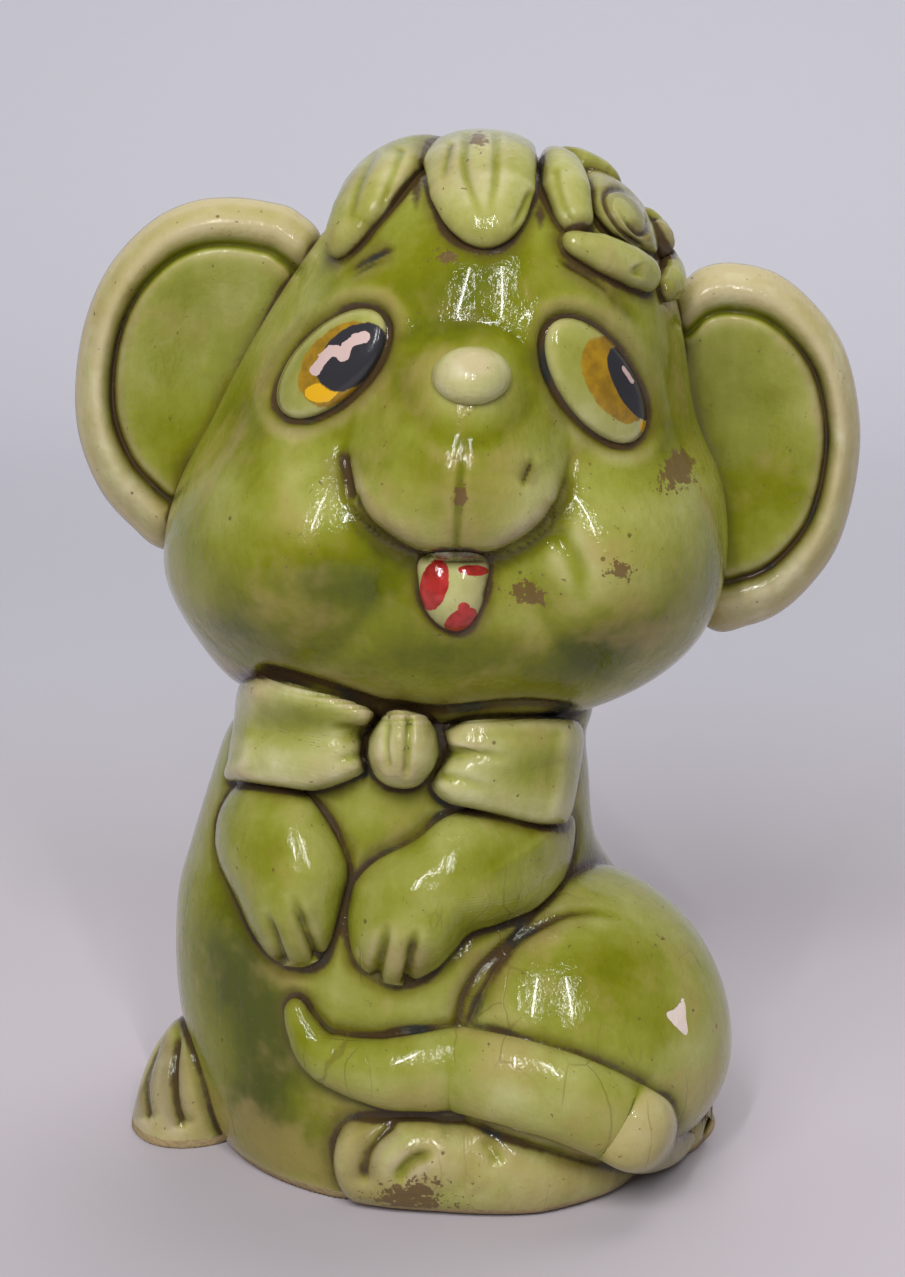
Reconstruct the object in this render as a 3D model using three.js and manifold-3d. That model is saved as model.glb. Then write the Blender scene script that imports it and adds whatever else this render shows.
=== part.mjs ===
// A seated mouse money bank in glazed earthenware. The head and the body are hollow slip castings;
// the nose, tongue, eyes, ears, hair, flower, bow, arms, haunches, feet and tail are modelled pieces
// luted on to them, and a rubber stopper closes the hole under the base.
// Millimetres, +Z up. The mouse faces -Y, so its own left side is +X.
import * as THREE from "three";
import { mergeVertices } from "three/addons/utils/BufferGeometryUtils.js";
import Module from "manifold-3d";

const wasm = await Module();
wasm.setup();

// ---- driving dimensions -------------------------------------------------------------------------

const WALL = 4; // thickness of the cast walls
const GAP = 0.3; // clear joint between neighbouring pieces
const NECK_OVERLAP = 16; // how far the body's form runs up inside the head
const CHIN_DROP = 4; // how far the head's form runs below the neck joint
const CROWN_FULLNESS = 2.6; // 2 is a round crown, more is a squarer one

// A form is a stack of egg-shaped rings. Its profile lists [height, centre, half-width, front, back]
// as shares of the form's own sizes; a rounded form also closes to a pole at each end.
const BODY = {
  tall: 84,
  halfWidth: 38,
  front: 34,
  back: 36,
  rounded: false,
  profile: [
    [0, -0.092, 0.921, 1, 0.972],
    [0.095, -0.105, 0.987, 1, 1],
    [0.262, -0.158, 1, 0.971, 1],
    [0.429, -0.25, 0.903, 0.912, 0.917],
    [0.536, -0.289, 0.803, 0.824, 0.806],
    [0.667, -0.261, 0.739, 0.765, 0.694],
    [0.738, -0.237, 0.705, 0.735, 0.653],
    [0.81, -0.171, 0.671, 0.706, 0.611],
    [1, -0.132, 0.632, 0.676, 0.583],
  ],
};
const HEAD = {
  tall: 83,
  halfWidth: 45.4,
  front: 39.7,
  back: 37.5,
  rounded: true,
  profile: [
    [0, -0.121, 1.366, 1.31, 1.28],
    [0.145, -0.064, 1.132, 1.108, 1.067],
    [0.289, -0.07, 1, 1, 1],
    [0.434, -0.053, 0.877, 0.894, 0.96],
    [0.578, -0.031, 0.751, 0.826, 0.928],
    [0.831, 0.055, 0.65, 0.736, 0.821],
    [1, 0.055, 0.628, 0.736, 0.821],
  ],
};
const NECK_HEIGHT = BODY.tall - NECK_OVERLAP; // where the head meets the body
BODY.low = 0;
HEAD.low = NECK_HEIGHT - CHIN_DROP;

// Sizes are in millimetres. A place on the head or the body is given as [across, along, up], shares of
// its half-width, of its front (below 0) or back reach, and of its height, so that it follows the form.
const MUZZLE = { across: -0.033, up: 0.548, width: 33, rise: 32, reach: 16, sink: 1.5 };
const COIN_SLOT = { across: 0, up: 0.651, length: 34, width: 5 };
const EAR_RIGHT = { place: [-0.815, 0.213, 0.596], width: 42, height: 53 };
const EAR_LEFT = { place: [0.826, 0.213, 0.464], width: 42, height: 56 };
const EAR = { thickness: 11, rim: 6, dishDepth: 5 };
const STOPPER = { radius: 13.7, taper: 0.7, depth: 9, seat: 3.8, flange: 1.6, cup: 10 };
const RECESS = { fingerRoom: 3.5, depth: 3.4, seatThickness: 4.1 };
const FLANGE_RADIUS = STOPPER.radius + STOPPER.seat;
const RECESS_RADIUS = FLANGE_RADIUS + RECESS.fingerRoom;
const FLOOR = RECESS.depth + RECESS.seatThickness; // thickness of the base around the hole

const SEGMENTS = { form: 36, rings: 24, inner: 20, pad: 16, limb: 12, round: 32 };

// ---- making solids ------------------------------------------------------------------------------

function solid(geometry) {
  const bare = geometry.clone();
  bare.deleteAttribute("normal");
  bare.deleteAttribute("uv");
  const merged = mergeVertices(bare, 1e-4);
  return new wasm.Manifold(
    new wasm.Mesh({
      numProp: 3,
      vertProperties: new Float32Array(merged.attributes.position.array),
      triVerts: new Uint32Array(merged.index.array),
    }),
  );
}

function geometryOf(manifold) {
  const mesh = manifold.getMesh();
  const points = new Float32Array(mesh.numVert * 3);
  for (let i = 0; i < mesh.numVert; i++) {
    points.set(mesh.vertProperties.subarray(i * mesh.numProp, i * mesh.numProp + 3), i * 3);
  }
  const geometry = new THREE.BufferGeometry();
  geometry.setAttribute("position", new THREE.BufferAttribute(points, 3));
  geometry.setIndex(new THREE.BufferAttribute(mesh.triVerts, 1));
  geometry.computeVertexNormals();
  return geometry;
}

// Moves every vertex of a geometry to where `place` puts it.
function reshape(geometry, place) {
  const position = geometry.attributes.position;
  const v = new THREE.Vector3();
  for (let i = 0; i < position.count; i++) {
    v.fromBufferAttribute(position, i);
    position.setXYZ(i, ...place(v).toArray());
  }
  return geometry;
}

// The ring of a form at a height, grown outwards by `grow`.
function ringAt(form, height, grow = 0) {
  const s = form.profile;
  const last = s.length - 1;
  const up = (height - form.low) / form.tall;
  let k = 0;
  while (k < last - 1 && up > s[k + 1][0]) k++;
  const t = THREE.MathUtils.clamp((up - s[k][0]) / (s[k + 1][0] - s[k][0]), 0, 1);
  const [centre, wide, ahead, behind] = [1, 2, 3, 4].map((i) => {
    const slope = (a, b) => (s[b][i] - s[a][i]) / (s[b][0] - s[a][0]);
    const step = s[k + 1][0] - s[k][0];
    const m0 = step * (k > 0 ? slope(k - 1, k + 1) : slope(k, k + 1));
    const m1 = step * (k + 2 <= last ? slope(k, k + 2) : slope(k, k + 1));
    const bend = t * t * (3 - 2 * t);
    const curve = t * (1 - t) * ((1 - t) * m0 - t * m1);
    return s[k][i] + (s[k + 1][i] - s[k][i]) * bend + curve;
  });
  const x = centre * form.halfWidth;
  const [halfWidth, front, back] = [wide * form.halfWidth, ahead * form.front, behind * form.back];
  if (!form.rounded) return { x, halfWidth: halfWidth + grow, front: front + grow, back: back + grow };
  const offMiddle = THREE.MathUtils.clamp(2 * up - 1, -1, 1);
  const fullness = offMiddle > 0 ? CROWN_FULLNESS : 2;
  const pinch = Math.max(1e-9, 1 - Math.abs(offMiddle) ** fullness) ** (1 / fullness);
  return { x, halfWidth: halfWidth * pinch, front: front * pinch, back: back * pinch };
}

// A place on a form, from shares to millimetres.
function placeOn(form, [across, along, up], tall = form.tall) {
  const reach = along < 0 ? form.front : form.back;
  return [across * form.halfWidth, along * reach, form.low + up * tall];
}
const headPlace = (place) => placeOn(HEAD, place);
const bodyPlace = (place) => placeOn(BODY, place, NECK_HEIGHT);

// How far forward (y) a form's front surface is at x and height.
function frontOf(form, x, height) {
  const ring = ringAt(form, height);
  const u = THREE.MathUtils.clamp((x - ring.x) / ring.halfWidth, -0.985, 0.985);
  return -ring.front * Math.sqrt(1 - u * u);
}

// A closed solid of a form, grown by `grow`. A rounded form starts from a sphere, the other from a cylinder.
function formSolid(form, grow = 0, around = SEGMENTS.form, rings = SEGMENTS.rings) {
  if (form.rounded) {
    const half = form.tall / 2;
    const middle = form.low + half;
    const ball = new THREE.SphereGeometry(1, around, rings).rotateX(Math.PI / 2);
    return solid(
      reshape(ball, (v) => {
        const ring = ringAt(form, middle + half * v.z);
        const pinch = Math.sqrt(Math.max(1e-9, 1 - v.z * v.z));
        const reach = v.y < 0 ? ring.front : ring.back;
        const outwards = new THREE.Vector3(v.x, v.y, v.z);
        const atPole = pinch < 1e-4;
        const [across, along] = atPole ? [0, 0] : [v.x / pinch, v.y / pinch];
        v.set(ring.x + ring.halfWidth * across, reach * along, middle + half * v.z);
        return v.addScaledVector(outwards, grow);
      }),
    );
  }
  const drum = new THREE.CylinderGeometry(1, 1, 1, around, rings).rotateX(Math.PI / 2);
  return solid(
    reshape(drum, (v) => {
      const height = form.low + form.tall * (v.z + 0.5);
      const ring = ringAt(form, height, grow);
      return v.set(ring.x + ring.halfWidth * v.x, (v.y < 0 ? ring.front : ring.back) * v.y, height);
    }),
  );
}

function ellipsoid(centre, radii, turn = [0, 0, 0], grow = 0, around = SEGMENTS.pad) {
  const ball = new THREE.SphereGeometry(1, around, Math.round(around * 0.6)).rotateX(Math.PI / 2);
  ball.scale(radii[0] + grow, radii[1] + grow, radii[2] + grow);
  ball.applyMatrix4(new THREE.Matrix4().makeRotationFromEuler(new THREE.Euler(...turn)));
  return solid(ball.translate(...centre));
}

function box(low, high) {
  const size = high.map((h, i) => h - low[i]);
  const centre = high.map((h, i) => (h + low[i]) / 2);
  return solid(new THREE.BoxGeometry(...size).translate(...centre));
}

// A low dome that follows the front of a form. `long` and `wide` are its half-lengths before it is
// turned by `tilt`; `flare` widens its far end, `square` draws its corners out and a low `dome`
// makes its edge steep.
function pad(form, shape, grow = 0) {
  const { place, long, wide, rise, tilt = 0, flare = 0, square = 0, dome = 0.7 } = shape;
  const [x, , height] = form === HEAD ? headPlace(place) : bodyPlace(place);
  const ball = new THREE.SphereGeometry(1, SEGMENTS.pad, 12);
  const turned = (a, b) => [a * Math.cos(tilt) - b * Math.sin(tilt), a * Math.sin(tilt) + b * Math.cos(tilt)];
  return solid(
    reshape(ball, (v) => {
      const radius = Math.hypot(v.x, v.y);
      const corner = radius < 1e-6 ? 1 : radius / Math.max(Math.abs(v.x), Math.abs(v.y));
      const draw = 1 + (corner - 1) * square;
      const [px, pz] = turned(v.x * draw * long, v.y * draw * wide * (1 + flare * v.x));
      const [growX, growZ] = turned(v.x * grow, v.y * grow);
      const thick = v.z > 0 ? rise * v.z ** dome + grow : -2 * grow;
      return v.set(x + px + growX, frontOf(form, x + px, height + pz) - GAP - thick, height + pz + growZ);
    }),
  );
}

// A round limb along a smooth curve, with the radius given at even steps and rounded ends.
function limb(points, radii, grow = 0, steps = 4 * points.length) {
  const curve = new THREE.CatmullRomCurve3(points.map((p) => new THREE.Vector3(...p)));
  const length = curve.getLength();
  const radiusAt = (t) => {
    const place = t * (radii.length - 1);
    const k = Math.min(Math.floor(place), radii.length - 2);
    return THREE.MathUtils.lerp(radii[k], radii[k + 1], place - k) + grow;
  };
  const first = radiusAt(0);
  const last = radiusAt(1);
  const profile = [new THREE.Vector2(0, -first)];
  for (let i = 1; i < 4; i++) {
    const a = (i / 4) * (Math.PI / 2);
    profile.push(new THREE.Vector2(first * Math.sin(a), -first * Math.cos(a)));
  }
  for (let i = 0; i <= steps; i++) {
    profile.push(new THREE.Vector2(radiusAt(i / steps), (length * i) / steps));
  }
  for (let i = 3; i > 0; i--) {
    const a = (i / 4) * (Math.PI / 2);
    profile.push(new THREE.Vector2(last * Math.sin(a), length + last * Math.cos(a)));
  }
  profile.push(new THREE.Vector2(0, length + last));
  const straight = new THREE.LatheGeometry(profile, SEGMENTS.limb);
  const up = new THREE.Vector3(0, 0, 1);
  return solid(
    reshape(straight, (v) => {
      const t = THREE.MathUtils.clamp(v.y / length, 0, 1);
      const beyond = v.y - t * length;
      const ahead = curve.getTangentAt(t);
      const side = new THREE.Vector3().crossVectors(up, ahead).normalize();
      const over = new THREE.Vector3().crossVectors(ahead, side);
      const at = curve.getPointAt(t).addScaledVector(ahead, beyond);
      // side, over and ahead keep the lathe's handedness, so the faces stay turned outwards
      return at.addScaledVector(side, v.z).addScaledVector(over, v.x);
    }),
  );
}

// Largest body of a solid: a cut can leave a crumb where two neighbours nearly meet.
function whole(manifold) {
  return manifold.decompose().sort((a, b) => b.volume() - a.volume())[0];
}

function joined(solids) {
  return solids.reduce((all, one) => all.add(one));
}

// ---- the castings -------------------------------------------------------------------------------

function muzzleSolid(grow = 0) {
  const [x, , height] = headPlace([MUZZLE.across, 0, MUZZLE.up]);
  const centre = [x, frontOf(HEAD, x, height) + MUZZLE.sink, height];
  const radii = [MUZZLE.width / 2, MUZZLE.reach - MUZZLE.sink * 4, MUZZLE.rise / 2];
  return ellipsoid(centre, radii, [0.1, 0, 0], grow, 28);
}

const above = (height) => box([-200, -200, height], [200, 200, 400]);
const below = (height) => box([-200, -200, -400], [200, 200, height]);
const headOutside = (grow = 0) => formSolid(HEAD, grow).add(muzzleSolid(grow));
const bodyOutside = (grow = 0) => formSolid(BODY, grow, SEGMENTS.form, 18);
const bodyInside = () => formSolid(BODY, -WALL, SEGMENTS.inner, 10).intersect(above(FLOOR));

function coinSlot() {
  const { across, up, length, width } = COIN_SLOT;
  const [x, inside, height] = headPlace([across, 0.4, up]);
  const outside = 2 * HEAD.back;
  return box([x - length / 2, inside, height - width / 2], [x + length / 2, outside, height + width / 2]);
}

function headShell() {
  const hollow = formSolid(HEAD, -WALL, SEGMENTS.inner, 16).add(bodyInside());
  return headOutside().subtract(hollow).subtract(coinSlot()).intersect(above(NECK_HEIGHT + GAP / 2));
}

function plug(radius, low, high) {
  const round = new THREE.CylinderGeometry(radius, radius, high - low, SEGMENTS.round);
  return solid(round.rotateX(Math.PI / 2).translate(0, 0, (low + high) / 2));
}

function bodyShell() {
  return bodyOutside()
    .subtract(bodyInside())
    .subtract(plug(STOPPER.radius + GAP, -1, FLOOR + 1))
    .subtract(plug(RECESS_RADIUS, -1, RECESS.depth))
    .intersect(below(NECK_HEIGHT - GAP / 2));
}

function stopper() {
  const { radius, taper, depth, flange, cup } = STOPPER;
  const top = RECESS.depth - GAP;
  const outline = [
    [0, top + depth],
    [cup - taper, top + depth],
    [radius - taper, top + depth],
    [radius, top],
    [FLANGE_RADIUS, top],
    [FLANGE_RADIUS, top - flange],
    [cup, top - flange],
    [cup - taper, top + depth - flange],
    [0, top + depth - flange],
  ];
  const profile = outline.map(([r, z]) => new THREE.Vector2(r, z)).reverse();
  return solid(new THREE.LatheGeometry(profile, SEGMENTS.round).rotateX(Math.PI / 2));
}

// ---- the modelled pieces: each is a function of how far it is grown -------------------------------

function ear({ place, width, height }, side, grow) {
  const [x, y, z] = headPlace(place);
  const disc = ellipsoid([x, y, z], [width / 2, EAR.thickness / 2, height / 2], [0, 0, 0], grow, 32);
  const reach = EAR.thickness / 2;
  const dish = ellipsoid(
    [x + side, y - reach - EAR.thickness / 2 + EAR.dishDepth, z],
    [width / 2 - EAR.rim, reach + 0.5, height / 2 - EAR.rim],
    [0, 0, 0],
    0,
    28,
  );
  return grow ? disc : disc.subtract(dish);
}

// A point in front of the head or the body, standing `proud` of its surface.
function onHead(across, up, proud) {
  const [x, , height] = headPlace([across, 0, up]);
  return [x, frontOf(HEAD, x, height) - proud, height];
}

function onBody(across, up, proud) {
  const [x, , height] = bodyPlace([across, 0, up]);
  return [x, frontOf(BODY, x, height) - proud, height];
}

const EYE_RIGHT = { place: [-0.394, 0, 0.696], long: 9.2, wide: 4.9, rise: 1.8, tilt: 0.785 };
const EYE_LEFT = { place: [0.374, 0, 0.669], long: 9.6, wide: 5.1, rise: 1.8, tilt: -0.96 };
const NOSE = { across: 0.013, up: 0.682, width: 10, rise: 6.8, depth: 7, sink: 8 };
const TONGUE = { across: -0.044, up: 0.337, width: 9.4, height: 14, rise: 2.4, sink: 0.4 };
const TUFT_RIGHT = { place: [-0.27, -0.378, 0.912], width: 14, length: 27, thick: 9, lean: 0.3 };
const TUFT_CENTRE = { place: [0.046, -0.428, 0.916], width: 16, length: 27, thick: 10, lean: 0 };
const TUFT_PITCH = 0.72;
const FLOWER = { place: [0.44, -0.353, 0.9], heart: 6.4, petal: 7, ring: 7.4, petals: 5, spin: 0.35 };
const FLOWER_FACING = new THREE.Vector3(0.62, -0.5, 0.6).normalize();
const BOW_KNOT = { place: [-0.224, 0, 1.012], long: 5, wide: 6.4, rise: 10, dome: 0.5 };
const BOW_SHAPE = { rise: 8, dome: 0.35, square: 0.7 };
const BOW_LOOP_RIGHT = {
  ...BOW_SHAPE, place: [-0.611, 0, 1.029], long: 9.6, wide: 8.6, tilt: Math.PI + 0.06, flare: 0.12,
};
const BOW_LOOP_LEFT = {
  ...BOW_SHAPE, place: [0.168, 0, 0.965], long: 10.6, wide: 8.8, tilt: -0.08, flare: 0.16,
};

function tuft({ place, width, length, thick, lean }, grow) {
  const turn = [TUFT_PITCH, lean, 0];
  return ellipsoid(headPlace(place), [width / 2, length / 2, thick / 2], turn, grow, 18);
}

function flowerFrame() {
  return new THREE.Quaternion().setFromUnitVectors(new THREE.Vector3(0, 0, 1), FLOWER_FACING);
}

function flowerHeart(grow) {
  const turn = new THREE.Euler().setFromQuaternion(flowerFrame());
  const radii = [FLOWER.heart, FLOWER.heart, FLOWER.heart * 1.15];
  return ellipsoid(headPlace(FLOWER.place), radii, [turn.x, turn.y, turn.z], grow, 18);
}

function flowerPetal(index, grow) {
  const angle = FLOWER.spin + (index / FLOWER.petals) * 2 * Math.PI;
  const turn = flowerFrame().multiply(
    new THREE.Quaternion().setFromAxisAngle(new THREE.Vector3(0, 0, 1), angle),
  );
  const outwards = new THREE.Vector3(FLOWER.ring, 0, -1).applyQuaternion(turn);
  const centre = new THREE.Vector3(...headPlace(FLOWER.place)).add(outwards);
  const e = new THREE.Euler().setFromQuaternion(turn);
  const radii = [FLOWER.petal * 0.7, FLOWER.petal, FLOWER.petal * 0.75];
  return ellipsoid(centre.toArray(), radii, [e.x, e.y, e.z], grow, 16);
}

function armRight(grow) {
  const shoulder = onBody(-0.737, 0.912, -1);
  const route = [shoulder, onBody(-0.763, 0.794, 1), onBody(-0.684, 0.699, 1.5), onBody(-0.592, 0.64, 1)];
  return limb(route, [7, 8.4, 7.6, 6.4], grow, 9);
}

function armLeft(grow) {
  const shoulder = onBody(0.263, 0.86, 0);
  const route = [shoulder, onBody(0.158, 0.765, 2), onBody(-0.026, 0.713, 2.5), onBody(-0.25, 0.632, 2)];
  return limb(route, [7.2, 8.6, 8.4, 7.4], grow, 10);
}

// A haunch is a bulge of the body, so its half-sizes are shares of the body's too.
const HAUNCH_LEFT = { place: [0.329, -0.309, 0.25], across: 0.711, along: 0.779, up: 0.419 };
const HAUNCH_RIGHT = { place: [-0.684, 0.25, 0.294], across: 0.5, along: 0.735, up: 0.338 };

function haunch({ place, across, along, up }, grow) {
  const radii = [across * BODY.halfWidth, along * BODY.front, up * NECK_HEIGHT];
  return ellipsoid(bodyPlace(place), radii, [0, 0, 0], grow, 24);
}
const haunchLeft = (grow) => haunch(HAUNCH_LEFT, grow);
const haunchRight = (grow) => haunch(HAUNCH_RIGHT, grow);

function foot({ place, size, heading, toes }, grow) {
  const centre = bodyPlace(place);
  const direction = new THREE.Vector3(...heading);
  const across = new THREE.Vector3(0, 0, 1).cross(direction);
  const heel = ellipsoid(centre, size, [0, 0, Math.atan2(direction.y, direction.x)], grow, 20);
  const toeRadius = size[1] / toes + TOE_EXTRA;
  const parts = [];
  for (let i = 0; i < toes; i++) {
    const offset = (i - (toes - 1) / 2) * (toeRadius * 1.45);
    const at = new THREE.Vector3(...centre)
      .addScaledVector(direction, size[0] * TOE_REACH)
      .addScaledVector(across, offset);
    const angle = Math.atan2(direction.y, direction.x);
    const radii = [size[0] * TOE_REACH, toeRadius, size[2] * TOE_HEIGHT];
    parts.push(ellipsoid(at.toArray(), radii, [0, 0, angle], grow, 14));
  }
  return joined([heel, ...parts]);
}

const TOE_REACH = 0.55; // how far the toes stand forward, as a share of the foot's length
const TOE_HEIGHT = 0.86; // and how high they are, as a share of its height
const TOE_EXTRA = 0.8; // how much the toes swell beyond an even share of the foot's width
const FOOT_LEFT = { place: [-0.197, -0.838, 0.096], size: [9, 9.5, 9.5], heading: [-0.34, -0.94, 0], toes: 3 };
const FOOT_RIGHT = { place: [-0.987, -0.044, 0.096], size: [8, 9.5, 9.5], heading: [-0.85, -0.53, 0], toes: 3 };
const SOLE_LEFT = { place: [0.211, -0.765, 0.081], size: [19, 10, 8], turn: 0.22 };

function footLeft(grow) {
  const sole = ellipsoid(bodyPlace(SOLE_LEFT.place), SOLE_LEFT.size, [0, 0, SOLE_LEFT.turn], grow, 18);
  return joined([foot(FOOT_LEFT, grow), sole]);
}
const footRight = (grow) => foot(FOOT_RIGHT, grow);

// The tail leaves the back, lies round the left haunch and crosses the front above the foot.
const TAIL_ROUTE = [
  [0.211, 0.986, 0.162],
  [0.5, 0.875, 0.162],
  [0.74, 0.611, 0.162],
  [0.855, 0.25, 0.169],
  [0.895, -0.147, 0.176],
  [0.763, -0.853, 0.206],
  [0.421, -1.029, 0.265],
  [0.026, -1.09, 0.331],
  [-0.342, -1.015, 0.353],
  [-0.579, -0.897, 0.426],
  [-0.632, -0.838, 0.485],
];
const TAIL_RADII = [7.5, 7.2, 6.8, 6.6, 6.4, 6.3, 6.2, 5.8, 5.2, 4.4, 3.4];
const tail = (grow) => limb(TAIL_ROUTE.map(bodyPlace), TAIL_RADII, grow, 28);

// ---- materials ----------------------------------------------------------------------------------

const finish = (color, roughness) => new THREE.MeshStandardMaterial({ color, roughness, metalness: 0 });
const GLAZE = finish(0x8c8c38, 0.12);
const PALE_GLAZE = finish(0xa8a660, 0.12);
const EYE_PAINT = finish(0xb06a12, 0.3);
const TONGUE_PAINT = finish(0xa81f16, 0.35);
const RUBBER = finish(0xd9cdb0, 0.6);

// ---- assembly -----------------------------------------------------------------------------------

// Each piece, in order of what gives way: a piece is cut clear of all those in its `clear` list.
const pieces = new Map();
function add(name, material, build, clear = []) {
  pieces.set(name, { material, build, clear });
}

add("head_shell", GLAZE, (grow) => (grow ? headOutside(grow) : headShell()));
add("body_shell", GLAZE, (grow) => (grow ? bodyOutside(grow).intersect(below(NECK_HEIGHT)) : bodyShell()));
add("stopper", RUBBER, () => stopper());
add("nose", PALE_GLAZE, (grow) => {
  const centre = onHead(NOSE.across, NOSE.up, MUZZLE.reach - NOSE.sink);
  return ellipsoid(centre, [NOSE.width / 2, NOSE.depth / 2, NOSE.rise / 2], [0, 0, 0], grow);
}, ["head_shell"]);
add("tongue", TONGUE_PAINT, (grow) => {
  const centre = onHead(TONGUE.across, TONGUE.up, -TONGUE.sink);
  return ellipsoid(centre, [TONGUE.width / 2, TONGUE.rise, TONGUE.height / 2], [0.1, 0, 0], grow);
}, ["head_shell"]);
add("eye_right", EYE_PAINT, (grow) => pad(HEAD, EYE_RIGHT, grow), ["head_shell"]);
add("eye_left", EYE_PAINT, (grow) => pad(HEAD, EYE_LEFT, grow), ["head_shell"]);
add("ear_right", GLAZE, (grow) => ear(EAR_RIGHT, -1.5, grow), ["head_shell"]);
add("ear_left", GLAZE, (grow) => ear(EAR_LEFT, 1.5, grow), ["head_shell"]);
add("flower_heart", PALE_GLAZE, flowerHeart, ["head_shell"]);
const petalNames = [];
for (let i = 0; i < FLOWER.petals; i++) {
  const name = `flower_petal_${i + 1}`;
  const build = (grow) => flowerPetal(i, grow);
  add(name, PALE_GLAZE, build, ["head_shell", "flower_heart", "ear_left", ...petalNames]);
  petalNames.push(name);
}
const flowerNames = ["flower_heart", ...petalNames];
add("hair_tuft_centre", PALE_GLAZE, (grow) => tuft(TUFT_CENTRE, grow), ["head_shell", ...flowerNames]);
add("hair_tuft_right", PALE_GLAZE, (grow) => tuft(TUFT_RIGHT, grow), ["head_shell", "hair_tuft_centre"]);
const castings = ["head_shell", "body_shell"];
add("bow_knot", PALE_GLAZE, (grow) => pad(BODY, BOW_KNOT, grow), castings);
const bowClear = [...castings, "bow_knot"];
add("bow_loop_right", PALE_GLAZE, (grow) => pad(BODY, BOW_LOOP_RIGHT, grow), bowClear);
add("bow_loop_left", PALE_GLAZE, (grow) => pad(BODY, BOW_LOOP_LEFT, grow), bowClear);
const bowNames = ["bow_knot", "bow_loop_right", "bow_loop_left"];
add("arm_left", GLAZE, armLeft, [...castings, ...bowNames]);
add("arm_right", GLAZE, armRight, [...castings, ...bowNames, "arm_left"]);
add("tail", GLAZE, tail, [...castings, "arm_left", "arm_right"]);
add("foot_left", PALE_GLAZE, footLeft, [...castings, "tail"]);
add("haunch_left", GLAZE, haunchLeft, [...castings, "tail", "foot_left", "arm_left"]);
add("foot_right", PALE_GLAZE, footRight, [...castings]);
add("haunch_right", GLAZE, haunchRight, [...castings, "foot_right", "tail", "arm_right"]);

const onFloor = above(0);
const mouse = new THREE.Group();
for (const [name, { material, build, clear }] of pieces) {
  let made = build(0);
  for (const other of clear) made = made.subtract(pieces.get(other).build(GAP));
  if (clear.length) made = whole(made.intersect(onFloor));
  const mesh = new THREE.Mesh(geometryOf(made), material);
  mesh.name = name;
  mouse.add(mesh);
}

// The origin is under the middle of the whole bank, on the surface it stands on.
const extent = new THREE.Box3().setFromObject(mouse);
const middle = extent.getCenter(new THREE.Vector3());
mouse.position.set(-middle.x, -middle.y, -extent.min.z);

export default mouse;
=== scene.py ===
# A mouse money bank in antiqued green glaze. Each casting and each modelled piece is sculpted here
# over the place of its CAD node; lengths are millimetres until a mesh is stored in metres.
import math

import bmesh
import bpy
import numpy as np
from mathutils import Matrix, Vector
from mathutils.bvhtree import BVHTree


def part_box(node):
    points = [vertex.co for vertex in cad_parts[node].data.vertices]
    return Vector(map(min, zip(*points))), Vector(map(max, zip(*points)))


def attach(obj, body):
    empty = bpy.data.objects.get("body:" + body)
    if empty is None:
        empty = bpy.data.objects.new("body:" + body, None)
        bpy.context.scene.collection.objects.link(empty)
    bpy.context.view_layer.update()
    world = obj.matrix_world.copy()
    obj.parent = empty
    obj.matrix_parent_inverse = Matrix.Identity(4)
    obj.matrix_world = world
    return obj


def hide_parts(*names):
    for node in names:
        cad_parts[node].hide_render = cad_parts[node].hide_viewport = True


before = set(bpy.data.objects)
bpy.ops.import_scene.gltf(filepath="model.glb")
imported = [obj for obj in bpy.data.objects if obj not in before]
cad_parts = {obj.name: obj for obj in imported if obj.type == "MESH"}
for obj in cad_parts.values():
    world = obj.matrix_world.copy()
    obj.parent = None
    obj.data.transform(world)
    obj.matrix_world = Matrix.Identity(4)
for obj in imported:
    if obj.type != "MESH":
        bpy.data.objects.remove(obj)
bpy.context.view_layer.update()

MM = 0.001
stopper_low, stopper_high = (np.array(corner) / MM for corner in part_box("stopper"))
# The bank's working axis runs up through the middle of the stopper.
AXIS = np.append((stopper_low + stopper_high)[:2] / 2, 0.0)

VIEW_DISTANCE = 400.0
VIEW_ELEVATION = math.radians(14)
AIM = np.array([0.0, 0.0, 76.0])
EYE = AIM + VIEW_DISTANCE * np.array([0.0, -math.cos(VIEW_ELEVATION), math.sin(VIEW_ELEVATION)])
# Features of the front are drawn as (x, z) on this plane and carried on to the clay from the eye point.
DRAWING_Y = -34.0


# ---- curves and drawing --------------------------------------------------------------------------


def spline(points, count=160, closed=False):
    """Points along a smooth curve through the given ones, evenly spaced by parameter."""
    p = np.array(points, float)
    n = len(p)
    if n == 2:
        t = np.linspace(0, 1, count)[:, None]
        return p[0] * (1 - t) + p[1] * t
    if closed:
        t = np.linspace(0, n, count, endpoint=False)
        k = np.floor(t).astype(int)
        a, b, c, d = (p[(k + i) % n] for i in (-1, 0, 1, 2))
    else:
        t = np.linspace(0, n - 1, count)
        k = np.minimum(np.floor(t).astype(int), n - 2)
        p = np.vstack([2 * p[0] - p[1], p, 2 * p[-1] - p[-2]])
        a, b, c, d = (p[k + i] for i in (0, 1, 2, 3))
    u = (t - k)[:, None]
    return 0.5 * (2 * b + (c - a) * u + (2 * a - 5 * b + 4 * c - d) * u**2 + (3 * b - a - 3 * c + d) * u**3)


def smoothstep(low, high, x):
    t = np.clip((x - low) / (high - low), 0, 1)
    return t * t * (3 - 2 * t)


def drawn(co, plane=DRAWING_Y):
    """Where each point is seen on the drawing plane."""
    t = (plane - EYE[1]) / (co[:, 1] - EYE[1])
    return np.stack([co[:, 0] * t, EYE[2] + (co[:, 2] - EYE[2]) * t], 1)


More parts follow.
